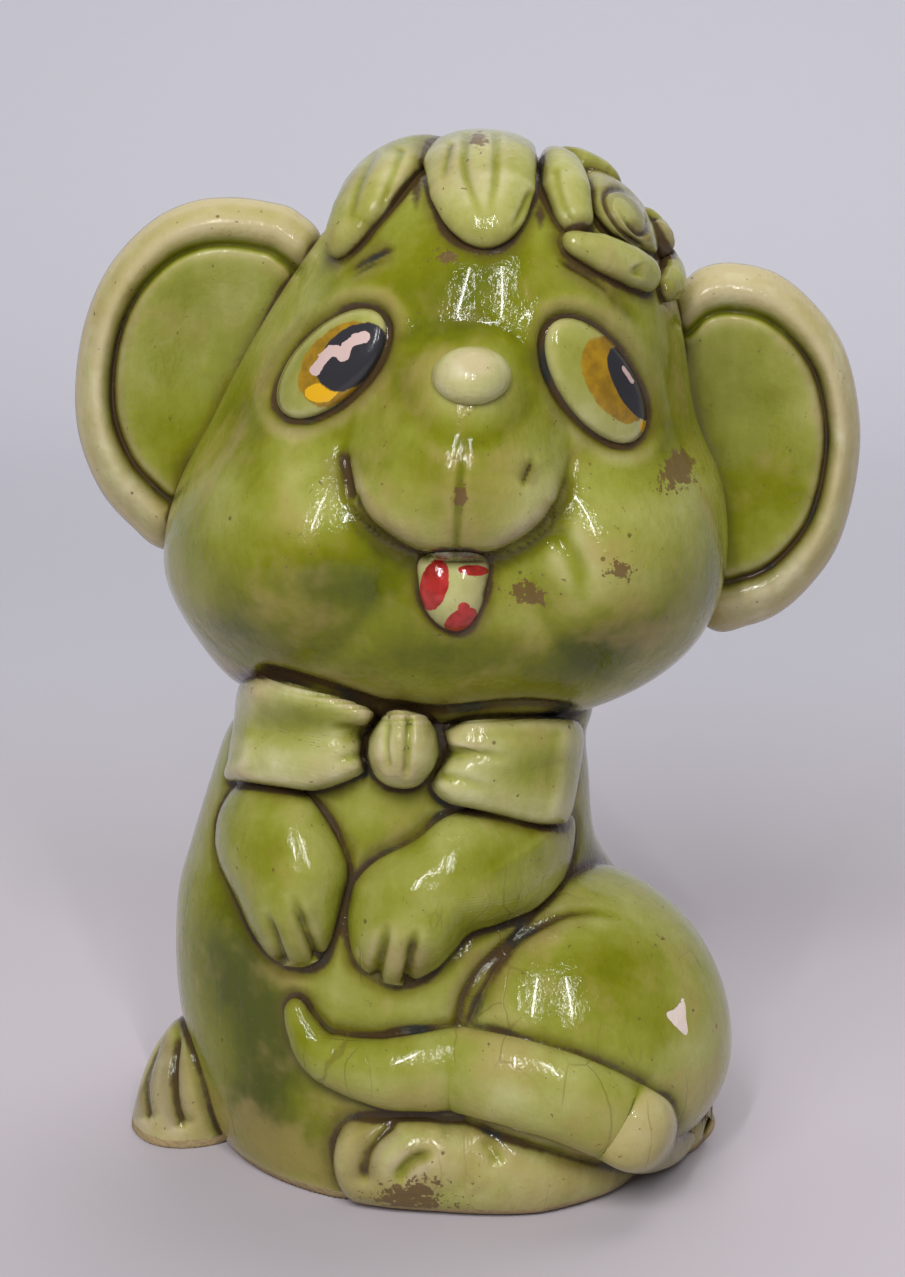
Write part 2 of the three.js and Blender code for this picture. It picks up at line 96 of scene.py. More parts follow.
def distance_to(points, line, reach):
    """Distance of points to a polyline, and how far along it they are, for those within reach."""
    away = np.full(len(points), 1e9)
    along = np.zeros(len(points))
    near = np.all((points > line.min(0) - reach) & (points < line.max(0) + reach), axis=1)
    index = np.nonzero(near)[0]
    if not len(index):
        return away, along
    p = points[index]
    best = np.full(len(p), 1e9)
    place = np.zeros(len(p))
    steps = np.linalg.norm(np.diff(line, axis=0), axis=1)
    marks = np.append(0, np.cumsum(steps)) / max(steps.sum(), 1e-9)
    for i in range(len(line) - 1):
        a, d = line[i], line[i + 1] - line[i]
        t = np.clip((p - a) @ d / max(d @ d, 1e-12), 0, 1)
        gap = np.linalg.norm(p - a - t[:, None] * d, axis=1)
        closer = gap < best
        best = np.where(closer, gap, best)
        place = np.where(closer, marks[i] + t * (marks[i + 1] - marks[i]), place)
    away[index] = best
    along[index] = place
    return away, along


def oval_share(p, centre, size, tilt=0.0):
    """The square of each drawn point's distance from an oval's centre, 1 at its edge."""
    across, up = (p - np.array(centre)).T
    c, s = math.cos(tilt), math.sin(tilt)
    return ((across * c + up * s) / size[0]) ** 2 + ((up * c - across * s) / size[1]) ** 2


def outline_at(outline, centre, unit):
    """The point of a drawn outline that lies the way each ball point does from the centre."""
    edge = spline(outline, 720, closed=True)
    if np.cross(edge - np.array(centre), np.roll(edge, -1, 0) - edge).sum() < 0:
        edge = edge[::-1]
    first = math.atan2(edge[0][1] - centre[1], edge[0][0] - centre[0])
    steps = np.linspace(0, 2 * math.pi, len(edge) + 1)
    turn = (np.arctan2(unit[:, 1], unit[:, 0]) - first) % (2 * math.pi)
    return np.stack([np.interp(turn, steps, np.append(edge[:, i], edge[0, i])) for i in range(2)], 1)


def within(points, outline, reach=16.0):
    """Distance inside a closed outline (below 0 outside), for the points within reach of it."""
    line = spline(outline, 24 * len(outline), closed=True)
    away, _ = distance_to(points, np.vstack([line, line[:1]]), reach)
    inside = np.zeros(len(points), bool)
    near = np.nonzero(away < 1e8)[0]
    x, z = points[near].T
    (x0, z0), (x1, z1) = line.T, np.roll(line, -1, 0).T
    for a, b, c, d in zip(x0, z0, x1, z1):
        if b != d:
            inside[near] ^= ((b > z) != (d > z)) & (x < a + (z - b) * (c - a) / (d - b))
    return np.where(inside, away, -away)


# ---- pieces --------------------------------------------------------------------------------------

pieces = {}


class Piece:
    """A closed mesh of one node, made from a ball whose points are placed and then sculpted."""

    def __init__(self, name, slot, around, rings, place, front_heavy=0.0):
        self.name = name
        self.slot = slot
        shape = bmesh.new()
        bmesh.ops.create_uvsphere(shape, u_segments=around // 2, v_segments=rings // 2, radius=1)
        bmesh.ops.subdivide_edges(shape, edges=shape.edges, cuts=1, use_grid_fill=True)
        self.mesh = bpy.data.meshes.new(name)
        shape.to_mesh(self.mesh)
        shape.free()
        unit = self.read()
        unit /= np.linalg.norm(unit, axis=1)[:, None]
        if front_heavy:
            turn = np.arctan2(unit[:, 0], -unit[:, 1])
            turn -= front_heavy * np.sin(turn)
            flat = np.hypot(unit[:, 0], unit[:, 1])
            unit = np.stack([flat * np.sin(turn), -flat * np.cos(turn), unit[:, 2]], 1)
        self.unit = unit
        self.masks = {}
        self.co = place(unit)
        self.update()
        pieces[name] = self

    def read(self):
        flat = np.zeros(len(self.mesh.vertices) * 3, np.float32)
        self.mesh.vertices.foreach_get("co", flat)
        return flat.reshape(-1, 3).astype(float)

    def update(self):
        self.mesh.vertices.foreach_set("co", self.co.astype(np.float32).ravel())
        self.mesh.update()
        flat = np.zeros(len(self.mesh.vertices) * 3, np.float32)
        self.mesh.vertex_normals.foreach_get("vector", flat)
        self.normals = flat.reshape(-1, 3).astype(float)
        self.tree = None

    def facing(self):
        """1 where the surface faces the eye point, 0 where it faces away."""
        look = EYE - self.co
        look /= np.linalg.norm(look, axis=1)[:, None]
        return smoothstep(-0.05, 0.25, np.sum(look * self.normals, axis=1))

    def push(self, amount):
        self.co = self.co + self.normals * amount[:, None]
        self.update()

    def mark(self, name, amount, most=True):
        old = self.masks.get(name)
        if old is None:
            old = np.zeros(len(self.co))
        self.masks[name] = np.maximum(old, amount) if most else old + amount

    def bvh(self):
        if self.tree is None:
            loops = np.zeros(len(self.mesh.loops), np.int32)
            self.mesh.loops.foreach_get("vertex_index", loops)
            starts = np.zeros(len(self.mesh.polygons), np.int32)
            self.mesh.polygons.foreach_get("loop_start", starts)
            faces = [part.tolist() for part in np.split(loops, starts[1:])]
            self.tree = BVHTree.FromPolygons(self.co.tolist(), faces)
        return self.tree


def carry(flat, onto, plane=DRAWING_Y):
    """Points of the drawing plane carried from the eye point on to the first of some pieces hit."""
    target = np.stack([flat[:, 0], np.full(len(flat), plane), flat[:, 1]], 1)
    rays = target - EYE
    rays /= np.linalg.norm(rays, axis=1)[:, None]
    trees = [piece.bvh() for piece in onto]
    spots = np.zeros_like(target)
    normals = np.zeros_like(target)
    eye = Vector(EYE)
    for i, ray in enumerate(rays):
        hits = [hit for hit in (tree.ray_cast(eye, Vector(ray)) for tree in trees) if hit[0] is not None]
        if hits:
            spot, normal, _, _ = min(hits, key=lambda hit: hit[3])
        else:
            beside = Vector(EYE + ray * (-EYE[1] / ray[1]))
            found = [tree.find_nearest(beside) for tree in trees]
            spot, normal, _, _ = min(found, key=lambda hit: hit[3])
        spots[i] = spot
        normals[i] = normal
    return spots, normals, -rays


def unevenness(co):
    """A slow wander between 0 and 1 over the clay, for lines that a hand and a glaze make unequal."""
    x, y, z = co.T
    bend = 1.9 * np.sin(0.21 * z + 0.1 * x)
    return 0.5 + 0.5 * np.sin(0.33 * x + bend) * np.sin(0.29 * z + 0.23 * y + 1.3)


POOL_AND_SHADE_SPREAD = 1.2  # the half-width of the pooled glaze and painted shade, in a groove's half-widths


def stroke(names, line, width, depth, pool_and_shade=1.0, plane=DRAWING_Y, fade=(0.12, 0.12), closed=False):
    """A groove pressed along a drawn line, with glaze pooled in it and painted shade along it. Negative depth
    raises a ridge.
    """
    path = spline(line, 24 * len(line), closed)
    if closed:
        path = np.vstack([path, path[:1]])
    for name in [names] if isinstance(names, str) else names:
        piece = pieces[name]
        away, along = distance_to(drawn(piece.co, plane), path, 5 * width)
        taper = np.ones(len(away))
        if not closed:
            taper = smoothstep(0, fade[0] + 1e-6, along) * smoothstep(0, fade[1] + 1e-6, 1 - along)
        seen = piece.facing() * taper
        pressed = np.exp(-((away / width) ** 2)) * seen
        piece.push(-depth * pressed)
        # the dark glaze pooled in the groove is also painted shade along it
        if pool_and_shade:
            reach = width * POOL_AND_SHADE_SPREAD * (0.75 + 0.5 * unevenness(piece.co))
            piece.mark("pool_and_shade", pool_and_shade * np.exp(-((away / reach) ** 2)) * seen)
            piece.mark("halo_and_shade", min(pool_and_shade, 0.8) * np.exp(-((away / (width * 3 + 0.8)) ** 2)) * seen)


def press(name, rows, plane=DRAWING_Y):
    """Strokes on one piece. A row is its line, width, depth, share of pooled glaze and painted shade, and
    fades.
    """
    for line, width, depth, pool_and_shade, fade in rows:
        stroke(name, line, width, depth, pool_and_shade, plane, fade)


def swell(name, centre, size, height):
    """A soft rise of oval plan on a piece."""
    piece = pieces[name]
    q = oval_share(drawn(piece.co), centre, size)
    piece.push(height * np.clip(1 - q, 0, 1) ** 1.5 * piece.facing())


def blotch(name, mask, centre, size, amount, tilt=0.0, plane=DRAWING_Y):
    """Adds a soft oval to one of a piece's masks."""
    piece = pieces[name]
    q = oval_share(drawn(piece.co, plane), centre, size, tilt)
    piece.mark(mask, amount * np.exp(-q * 1.4) * piece.facing(), most=False)


# ---- the castings --------------------------------------------------------------------------------

# height, centre x, half-width, front, back; a rounded form is drawn in towards a pole at each end
HEAD_STATIONS = [
    (64, -5.5, 62, 52, 48),
    (76, -2.9, 51.4, 44, 40),
    (88, -3.2, 45.4, 39.7, 37.5),
    (100, -2.4, 39.8, 35.5, 36),
    (112, -1.4, 34.1, 32.8, 34.8),
    (133, 2.5, 29.5, 32.3, 30.8),
    (147, 2.5, 28.5, 33.0, 30.8),
]
HEAD_LOW, HEAD_HIGH = 64.0, 147.0
BODY_STATIONS = [
    (0, -3.5, 35, 34, 35),
    (8, -4, 37.5, 34, 36),
    (22, -6, 38, 33, 36),
    (36, -9.5, 34.3, 31, 33),
    (45, -11, 30.5, 28, 29),
    (56, -9.9, 28.1, 26, 25),
    (62, -9.0, 26.8, 25, 23.5),
    (68, -6.5, 25.5, 24, 22),
    (84, -5, 24, 23, 21),
]
# The crown is fuller than a ball: 2 would be round, and more is squarer.
CROWN_FULLNESS = 2.6


def station_values(stations, height):
    """Centre x, half-width, front and back at each height, smoothly between stations."""
    table = np.array(stations, float)
    fine = spline(table, 60 * len(table))
    return [np.interp(height, fine[:, 0], fine[:, i]) for i in range(1, 5)]


def place_head(unit):
    height = (HEAD_LOW + HEAD_HIGH) / 2 + (HEAD_HIGH - HEAD_LOW) / 2 * unit[:, 2]
    centre, half_width, front, back = station_values(HEAD_STATIONS, height)
    reach = np.where(unit[:, 1] < 0, front, back)
    up = np.clip(unit[:, 2], 0, 1 - 1e-9)
    crown = (1 - up**CROWN_FULLNESS) ** (1 / CROWN_FULLNESS) / np.sqrt(1 - up**2)
    full = np.where((unit[:, 2] > 0) & (unit[:, 2] <= 0.9999), crown, 1)
    return np.stack([centre + half_width * full * unit[:, 0], reach * full * unit[:, 1], height], 1)


head = Piece("head_shell", "green_glaze", 420, 232, place_head, front_heavy=0.38)

BODY_TOP = 84.0
OUTER_SHARE = 0.72
STOPPER_LIP, STOPPER_CLEARANCE = 3.5, 0.3
hole_radius = (stopper_high - stopper_low)[0] / 2 - STOPPER_LIP
RECESS_RADIUS, RECESS_DEPTH, FLOOR = 21.0, 3.4, 7.5
# (share of the way down the rings, radius, height) of the underside, the hole and the hollow
UNDERSIDE = [
    (0.72, None, 0.0),
    (0.76, RECESS_RADIUS, 0.0),
    (0.78, RECESS_RADIUS, RECESS_DEPTH),
    (0.82, hole_radius, RECESS_DEPTH),
    (0.85, hole_radius, FLOOR),
    (0.90, 20.0, FLOOR + 1.5),
    (0.96, 19.0, 45.0),
    (1.0, 0.0, 56.0),
]


def place_body(unit):
    down = np.arccos(np.clip(unit[:, 2], -1, 1)) / math.pi
    flat = np.maximum(np.hypot(unit[:, 0], unit[:, 1]), 1e-9)
    way = unit[:, :2] / flat[:, None]
    height = BODY_TOP * (1 - np.clip(down / OUTER_SHARE, 0, 1) ** 0.9)
    centre, half_width, front, back = station_values(BODY_STATIONS, height)
    cap = np.clip(down / 0.05, 0, 1) ** 0.5
    foot = 1 - 0.03 * np.exp(-height / 1.2)
    reach = np.where(way[:, 1] < 0, front, back) * cap * foot
    outer = np.stack([centre + half_width * cap * foot * way[:, 0], reach * way[:, 1], height], 1)
    rim = np.stack(
        [
            BODY_STATIONS[0][1] + BODY_STATIONS[0][2] * 0.95 * way[:, 0],
            np.where(way[:, 1] < 0, BODY_STATIONS[0][3], BODY_STATIONS[0][4]) * 0.95 * way[:, 1],
        ],
        1,
    )
    shares = [row[0] for row in UNDERSIDE]
    radius = np.interp(down, shares[1:], [row[1] for row in UNDERSIDE[1:]])
    under_height = np.interp(down, shares, [row[2] for row in UNDERSIDE])
    circle = way * radius[:, None]
    blend = np.clip((down - shares[0]) / (shares[1] - shares[0]), 0, 1)[:, None]
    under = np.column_stack([rim * (1 - blend) + circle * blend, under_height])
    return np.where((down > OUTER_SHARE + 1e-6)[:, None], under, outer)


body = Piece("body_shell", "green_glaze", 380, 250, place_body, front_heavy=0.3)


def place_oval(centre, radii, power=2.0, turn=0.0, lower=1.0):
    """An oval of clay. Its lower half is `lower` times as tall as its upper half."""

    def place(unit):
        shaped = np.sign(unit) * np.abs(unit) ** (2.0 / power)
        shaped[:, 2] = np.where(unit[:, 2] < 0, shaped[:, 2] * lower, shaped[:, 2])
        c, s = math.cos(turn), math.sin(turn)
        p = shaped * np.array(radii)
        p = np.stack([p[:, 0] * c - p[:, 1] * s, p[:, 0] * s + p[:, 1] * c, p[:, 2]], 1)
        p = p + np.array(centre)
        p[:, 2] = floor_limit(p[:, 2])
        return p

    return place


def floor_limit(z, soft=1.2):
    """Heights kept above the table, easing out over the last millimetre."""
    return np.where(z < soft, soft * np.exp(np.minimum((z - soft) / soft, 0)) - soft * np.exp(-4), z)


haunch_left = Piece(
    "haunch_left", "green_glaze", 220, 150, place_oval((12.5, -10.5, 17.0), (27, 26.5, 27.6), lower=0.71),
)
haunch_right = Piece("haunch_right", "green_glaze", 180, 120, place_oval((-26, 9, 20), (19, 25, 23)))


# ---- sweeps and pads -----------------------------------------------------------------------------


def place_sweep(path, wide, thick, outward, ends=1.0):
    """A rounded limb along a path. Its section is `wide` across and `thick` towards `outward`.
    Below 1, `ends` makes its two ends blunter."""

    def place(unit):
        line = spline(path, 240)
        steps = np.append(0, np.cumsum(np.linalg.norm(np.diff(line, axis=0), axis=1)))
        length = steps[-1]
        knots = np.linspace(0, 1, len(path))
        share = (1 - unit[:, 2]) / 2
        at = share * length
        centre = np.stack([np.interp(at, steps, line[:, i]) for i in range(3)], 1)
        ahead = np.gradient(line, axis=0)
        ahead = np.stack([np.interp(at, steps, ahead[:, i]) for i in range(3)], 1)
        ahead /= np.linalg.norm(ahead, axis=1)[:, None]
        out = np.array(outward, float)
        if out.ndim == 2:
            out = spline(out, 240)
            out = np.stack([np.interp(at, steps, out[:, i]) for i in range(3)], 1)
        else:
            out = np.tile(out, (len(unit), 1))
        out = out - np.sum(out * ahead, axis=1)[:, None] * ahead
        out /= np.linalg.norm(out, axis=1)[:, None]
        side = np.cross(out, ahead)
        w = np.interp(share, knots, wide)
        t = np.interp(share, knots, thick)
        near_end = np.minimum(at, length - at)
        cap = np.sqrt(np.clip(1 - (1 - np.clip(near_end / (w * ends), 0, 1)) ** 2, 0, 1))
        flat = np.maximum(np.hypot(unit[:, 0], unit[:, 1]), 1e-9)
        a, b = unit[:, 0] / flat, unit[:, 1] / flat
        pole = flat < 1e-6
        cap = np.where(pole, 0, cap)
        p = centre + side * (w * cap * a)[:, None] - out * (t * cap * b)[:, None]
        p[:, 2] = floor_limit(p[:, 2])
        return p

    return place


def place_pad(outline, centre, rise, onto, sink=2.0, crown=2.4, dome=0.5, lean=0.35, plane=DRAWING_Y):
    """A dome over a drawn outline, raised from the clay beneath it. A higher `dome` eases its edge."""

    def place(unit):
        ring = outline_at(outline, centre, unit)
        radius = np.hypot(unit[:, 0], unit[:, 1])
        flat = np.array(centre) + radius[:, None] * (ring - np.array(centre))
        spots, normals, back = carry(flat, onto, plane)
        out = normals * lean + back * (1 - lean)
        out /= np.linalg.norm(out, axis=1)[:, None]
        swelling = np.clip(1 - radius**crown, 0, 1)
        lift = np.where(unit[:, 2] > 0, rise * swelling**dome, -sink * np.sqrt(swelling)) - 0.15
        return spots + out * lift[:, None]

    return place


# ---- the face ------------------------------------------------------------------------------------

MUZZLE = dict(centre=(-0.7, 107.0), left=15.6, right=14.6, down=11.8, up=21.0, stands=9.0)


def raise_muzzle():
    """The muzzle stands out sharply above the smile and fades into the cheeks beside the nose."""
    across, up = (drawn(head.co) - np.array(MUZZLE["centre"])).T
    across = across / np.where(across < 0, MUZZLE["left"], MUZZLE["right"])
    q = across**2 + (up / np.where(up < 0, MUZZLE["down"], MUZZLE["up"])) ** 2
    edge = 0.42 + 1.0 * smoothstep(-7, 8, up)
    shape = np.clip(1 - q, 0, 1) ** edge
    tall = MUZZLE["stands"] * (0.72 + 0.28 * np.exp(-((up / 10) ** 2)))
    head.co = head.co + np.array([0, -1.0, 0.1]) * (tall * shape * head.facing())[:, None]
    head.update()


CHEEKS = [
    dict(centre=(-28.0, 98.0), size=(17.0, 19.0), stands=6.0),
    dict(centre=(25.0, 95.5), size=(16.5, 18.0), stands=6.0),
]


def raise_cheeks():
    """The cheeks stand forward as two full pouches."""
    for cheek in CHEEKS:
        across, up = ((drawn(head.co) - np.array(cheek["centre"])) / np.array(cheek["size"])).T
        shape = np.clip(1 - across**2 - up**2, 0, 1) ** 1.5
        head.co = head.co + np.array([0, -1.0, 0.0]) * (cheek["stands"] * shape * head.facing())[:, None]
        head.update()


raise_cheeks()
raise_muzzle()
SMILE = [
    (-15.4, 105.5), (-14.0, 101.8), (-11.6, 99.1), (-6.6, 96.0), (-0.9, 95.2), (4.4, 96.3), (9.8, 99.6),
    (12.6, 104),
]
swell("head_shell", (-1, 84), (20, 11), 1.0)
press(
    "head_shell",
    [
        (SMILE, 0.5, 0.5, 0.8, (0.04, 0.04)),
        ([(-16.7, 111.5), (-16.2, 107.4), (-15.4, 103.0)], 0.65, 0.9, 1.0, (0.3, 0.15)),
        ([(11.3, 99.6), (12.4, 103.2), (13.6, 107.4), (15, 112)], 0.5, 0.5, 0.7, (0.15, 0.6)),
        ([(11.6, 99.8), (14.1, 96.0), (15.3, 92.5), (15.2, 88)], 1.5, 0.8, 0.22, (0.1, 0.6)),
        ([(-0.2, 113.5), (-0.9, 106.2), (-1.5, 95.6)], 0.6, 0.4, 0.4, (0.5, 0.02)),
        ([(9.1, 109.6), (8.1, 107.2), (7.2, 104.8)], 0.4, 0.35, 0.95, (0.35, 0.35)),
        ([(-16.9, 133.2), (-13.3, 135.4), (-8.9, 137.3)], 0.42, 0.4, 0.8, (0.35, 0.2)),
        ([(-16.4, 132.6), (-12.9, 134.6), (-10.2, 135.6)], 0.36, 0.3, 0.6, (0.35, 0.4)),
        ([(11.4, 135.8), (14.5, 134.1), (17.4, 132.3), (20.6, 129.7)], 0.42, 0.4, 0.75, (0.2, 0.4)),
        ([(18.0, 131.9), (21.4, 128.7), (23.8, 125.9)], 0.9, 0.4, 0.3, (0.3, 0.5)),
    ],
)
CHIN = [
    (-29.5, 80.4), (-24.3, 79.2), (-19.3, 77.8), (-14.5, 76), (-10.5, 74.8), (-3.0, 74.2), (7.9, 75.2),
    (16.4, 74.2),
]
# the dark line under the chin is pooled glaze and painted shade in the gap between head and bow
stroke(["head_shell", "body_shell"], CHIN, 0.9, 0.6, fade=(0.06, 0.06))

EYE_RIGHT = dict(centre=(-17.9, 121.8), long=9.4, short=4.9, tilt=0.785)
EYE_LEFT = dict(centre=(17.0, 119.5), long=9.8, short=5.1, tilt=-0.96)


def oval(centre, long, short, tilt, grow=0.0, count=24):
    a = np.linspace(0, 2 * math.pi, count, endpoint=False)
    x, y = (long + grow) * np.cos(a), (short + grow) * np.sin(a)
    c, s = math.cos(tilt), math.sin(tilt)
    return [(centre[0] + u * c - v * s, centre[1] + u * s + v * c) for u, v in zip(x, y)]


for eye in (EYE_RIGHT, EYE_LEFT):
    stroke("head_shell", oval(**eye, grow=2.0), 1.3, -0.3, pool_and_shade=0, closed=True)
    stroke("head_shell", oval(**eye), 0.6, 0.6, pool_and_shade=0.95, closed=True)
for name, eye in (("eye_right", EYE_RIGHT), ("eye_left", EYE_LEFT)):
    rise = place_pad(oval(**eye, grow=-0.2), eye["centre"], 1.9, [head], sink=1.2, crown=2.0)
    Piece(name, "eye_paint", 120, 60, rise)

NOSE = dict(centre=(0.6, 120.2), long=5.3, short=3.9, tilt=0.0)
swell("head_shell", (0.6, 119.2), (9, 8), 2.2)
Piece("nose", "pale_glaze", 110, 64, place_pad(oval(**NOSE), NOSE["centre"], 3.5, [head], crown=2.0))
TONGUE = [
    (-6.2, 95.6), (-6.5, 92), (-5.7, 88.6), (-3.5, 86.1), (-0.9, 85.5), (1.3, 87.4), (2.5, 90.9),
    (2.7, 95.4), (-1.5, 96.4),
]
Piece("tongue", "tongue_paint", 100, 60, place_pad(TONGUE, (-2, 91), 2.2, [head], crown=2.2, dome=0.6))
stroke("head_shell", TONGUE[:6], 0.5, 0.4, pool_and_shade=0.75, fade=(0.02, 0.3))

# ---- ears ----------------------------------------------------------------------------------------


def place_ear(outline, centre, groove, thick, plane):
    """A cupped ear: a rolled rim, a groove and a dished middle. Its back is a plain curve."""

    def place(unit):
        ring = outline_at(outline, centre, unit)
        polar = np.arccos(np.clip(unit[:, 2], -1, 1)) / (math.pi / 2)
        radius = np.where(polar < 1, polar, 2 - polar)
        flat = np.array(centre) + radius[:, None] * (ring - np.array(centre))
        target = np.stack([flat[:, 0], np.full(len(flat), plane), flat[:, 1]], 1)
        rays = target - EYE
        rays /= np.linalg.norm(rays, axis=1)[:, None]
        u = np.clip((radius - groove) / (1 - groove), 0, 1)
        rim = (0.62 + 0.38 * np.sin(math.pi * np.minimum(u * 1.1, 1))) * np.sqrt(1 - u**3.2)
        dish = 0.62 - 0.50 * smoothstep(groove, 0.1, radius)
        line = 0.26 * np.exp(-(((radius - groove) / 0.022) ** 2))
        front = (np.where(radius > groove, rim, dish) - line) * thick * 0.5
        back = -np.sqrt(np.clip(1 - radius**3, 0, 1)) * thick * 0.55
        lift = np.where(polar < 1, front, back)
        return target - rays * lift[:, None]

    return place


EAR_RIGHT = [
    (-20.5, 133.0), (-24.6, 138.0), (-28.6, 139.4), (-34.4, 140.1), (-40.3, 139.4), (-46.2, 136.5),
    (-52.2, 130.3), (-56.1, 122.2), (-57.9, 112.6), (-57.5, 104.4), (-54.7, 96.8), (-50.4, 91.5),
    (-45.3, 87.7), (-36, 88), (-26, 100), (-19, 120),
]
EAR_LEFT = [
    (27, 124), (30.5, 126.6), (34.1, 129.8), (39.2, 130.6), (45.8, 128.8), (51.8, 123.7), (55.7, 117.8),
    (57.8, 110.4), (58.4, 102.9), (57.2, 93.8), (54.5, 86.2), (48.7, 79.2), (42.7, 76.1), (36, 76),
    (28, 88), (25, 110),
]
EAR_Y = 8.0
EAR_GROOVE, EAR_THICK = 0.735, 10  # the groove's place, as a share of the way out to the rim
for name, outline, centre in (("ear_right", EAR_RIGHT, (-37.0, 114.5)), ("ear_left", EAR_LEFT, (39.5, 104))):
    Piece(name, "green_glaze", 260, 150, place_ear(outline, centre, EAR_GROOVE, EAR_THICK, EAR_Y))
for name in ("ear_right", "ear_left"):
    ear = pieces[name]
    radius = np.arccos(np.clip(ear.unit[:, 2], -1, 1)) / (math.pi / 2)
    groove = np.abs(radius - EAR_GROOVE)
    side = 1 if name == "ear_left" else -1
    outer = side * (ear.co[:, 0] - side * 38) - 0.25 * (ear.co[:, 2] - 108)
    strong = 0.25 + 0.75 * smoothstep(-4, 14, outer)
    front = radius < 1
    ear.mark("pool_and_shade", strong * front * np.exp(-((groove / 0.026) ** 2)))
    ear.mark("halo_and_shade", strong * front * 0.9 * np.exp(-((groove / 0.09) ** 2)))
    ear.mark("ridge", 0.5 * front * smoothstep(0.76, 0.86, radius))
    # painted shade: each ear's dish is darker towards its bottom, near the head
    low = 0.06 + 0.26 * smoothstep(112, 96, ear.co[:, 2])
    ear.mark("hollow", front * low * smoothstep(0.74, 0.55, radius))

# ---- hair and flower -----------------------------------------------------------------------------

HAIR_Y = -18.0


def laid(route, over, lift, onto, plane=HAIR_Y):
    """A drawn route laid on the clay and carried on over it through some points in space."""
    spots, normals, _ = carry(np.array(route, float), onto, plane)
    if over:
        tree = onto[0].bvh()
        found = [tree.find_nearest(Vector(point)) for point in over]
        spots = np.vstack([spots, [hit[0] for hit in found]])
        normals = np.vstack([normals, [hit[1] for hit in found]])
    return spots + normals * lift, normals


def lay(name, slot, route, wide, thick, over=(), lift=0.3, onto=None, around=110, rings=90):
    path, normals = laid(route, over, lift, onto or [head])
    Piece(name, slot, around, rings, place_sweep(path, wide, thick, normals))


# Each tuft's drawn route, the points it carries on through over the head, and its half-widths and heights.
TUFTS = [
    (
        "hair_tuft_centre", [(2.9, 135.0), (2.5, 139), (2.1, 143), (1.9, 146.8)],
        [(1.7, 6, 150), (1.5, 18, 146)], [4.4, 7.2, 8.1, 8.1, 7.4, 6.0], [2.2, 3.4, 3.5, 3.2, 2.9, 2.6],
    ),
    (
        "hair_tuft_right", [(-17.8, 133.6), (-15.6, 137.8), (-12.6, 142.6), (-9.6, 146.6)],
        [(-8.5, 6, 150), (-7.5, 17, 146)], [3.2, 5.8, 7.0, 7.0, 6.2, 5.0], [2.0, 3.3, 3.4, 3.2, 2.9, 2.6],
    ),
]
for name, route, over, wide, thick in TUFTS:
    lay(name, "pale_glaze", route, wide, thick, over, 0.2, around=150, rings=130)
HEART = [
    (15.9, 146.2), (18.6, 146.9), (21.9, 144.4), (24.6, 140.9), (25.5, 137.4), (25.9, 134.4), (24.1, 134.7),
    (20.5, 136.2), (17.5, 139.2), (16.0, 142.7),
]
Piece(
    "flower_heart", "pale_glaze", 180, 100,
    place_pad(HEART, (20.8, 140.6), 3.9, [head], sink=3.5, crown=2.6, plane=HAIR_Y),
)
# The petals' routes and half-widths; the outer one carries on over the head.
PETAL_HEIGHT = 0.86  # share of a petal's half-width
PETALS = [
    (
        "flower_petal_4", [(11.8, 147.9), (12.7, 145.0), (13.6, 141.5), (14.9, 136.8)],
        [2.2, 3.4, 3.7, 2.6], (),
    ),
    (
        "flower_petal_5", [(12.6, 136.6), (16.4, 135.0), (21.1, 133.0), (25.3, 130.9)],
        [1.9, 3.0, 3.2, 2.7], (),
    ),
    (
        "flower_petal_1", [(26.7, 136.6), (27.8, 133.9), (27.6, 130.9), (26.4, 129.1)],
        [1.9, 2.5, 2.6, 1.7], (),
    ),
    (
        "flower_petal_3", [(11.0, 148.2), (14.2, 148.3), (18.0, 147.2), (22.2, 144.4)],
        [1.9, 2.9, 3.0, 2.2], (),
    ),
    (
        "flower_petal_2", [(24.6, 142.2), (26.3, 138.8)],
        [2.2, 3.0, 3.0, 2.2], [(29, -2, 136), (28, 6, 138)],
    ),
]
for name, route, wide, over in PETALS:
    lay(name, "pale_glaze", route, wide, np.array(wide) * PETAL_HEIGHT, over)
press("hair_tuft_right", [
    ([(-12.4, 148.6), (-15.0, 143.3), (-16.2, 138.0)], 0.6, 0.4, 0.42, (0.02, 0.4)),
    ([(-8.9, 148.9), (-10.6, 143.8), (-12.4, 138.6)], 0.65, 0.4, 0.3, (0.02, 0.5)),
], HAIR_Y)
press("hair_tuft_centre", [
    ([(-2.1, 150), (-3.2, 145.6), (-3.2, 143.4)], 0.5, 0.35, 0.5, (0.1, 0.5)),
    ([(-0.1, 151), (-0.5, 146.7), (0.9, 142.1), (2.7, 138.6)], 0.6, 0.5, 0.4, (0.02, 0.6)),
    ([(3.9, 151), (3.9, 145.6), (3.3, 140.9), (2.9, 138.4)], 0.6, 0.45, 0.36, (0.02, 0.6)),
    ([(9.0, 143.6), (6.9, 139.2), (5.1, 138.0)], 0.5, 0.4, 0.4, (0.2, 0.5)),
], HAIR_Y)
SPIRAL = [
    (24.4, 135.0), (21.1, 137.7), (19.0, 140.9), (18.9, 143.0), (21.0, 143.5), (23.7, 141.8), (24.9, 139.2),
    (24.0, 137.2), (21.9, 138.9), (20.6, 140.8),
]
press("flower_heart", [(SPIRAL, 0.42, 0.6, 0.85, (0.05, 0.15))], HAIR_Y)
press("flower_petal_4", [
    ([(11.9, 146.6), (12.6, 142.8), (14.2, 138.6)], 0.6, 0.3, 0.25, (0.12, 0.12)),
], HAIR_Y)
press("flower_petal_5", [
    ([(22.9, 133.2), (23.4, 132.2), (23.2, 131.2)], 0.8, 0.4, 0.4, (0.3, 0.3)),
], HAIR_Y)
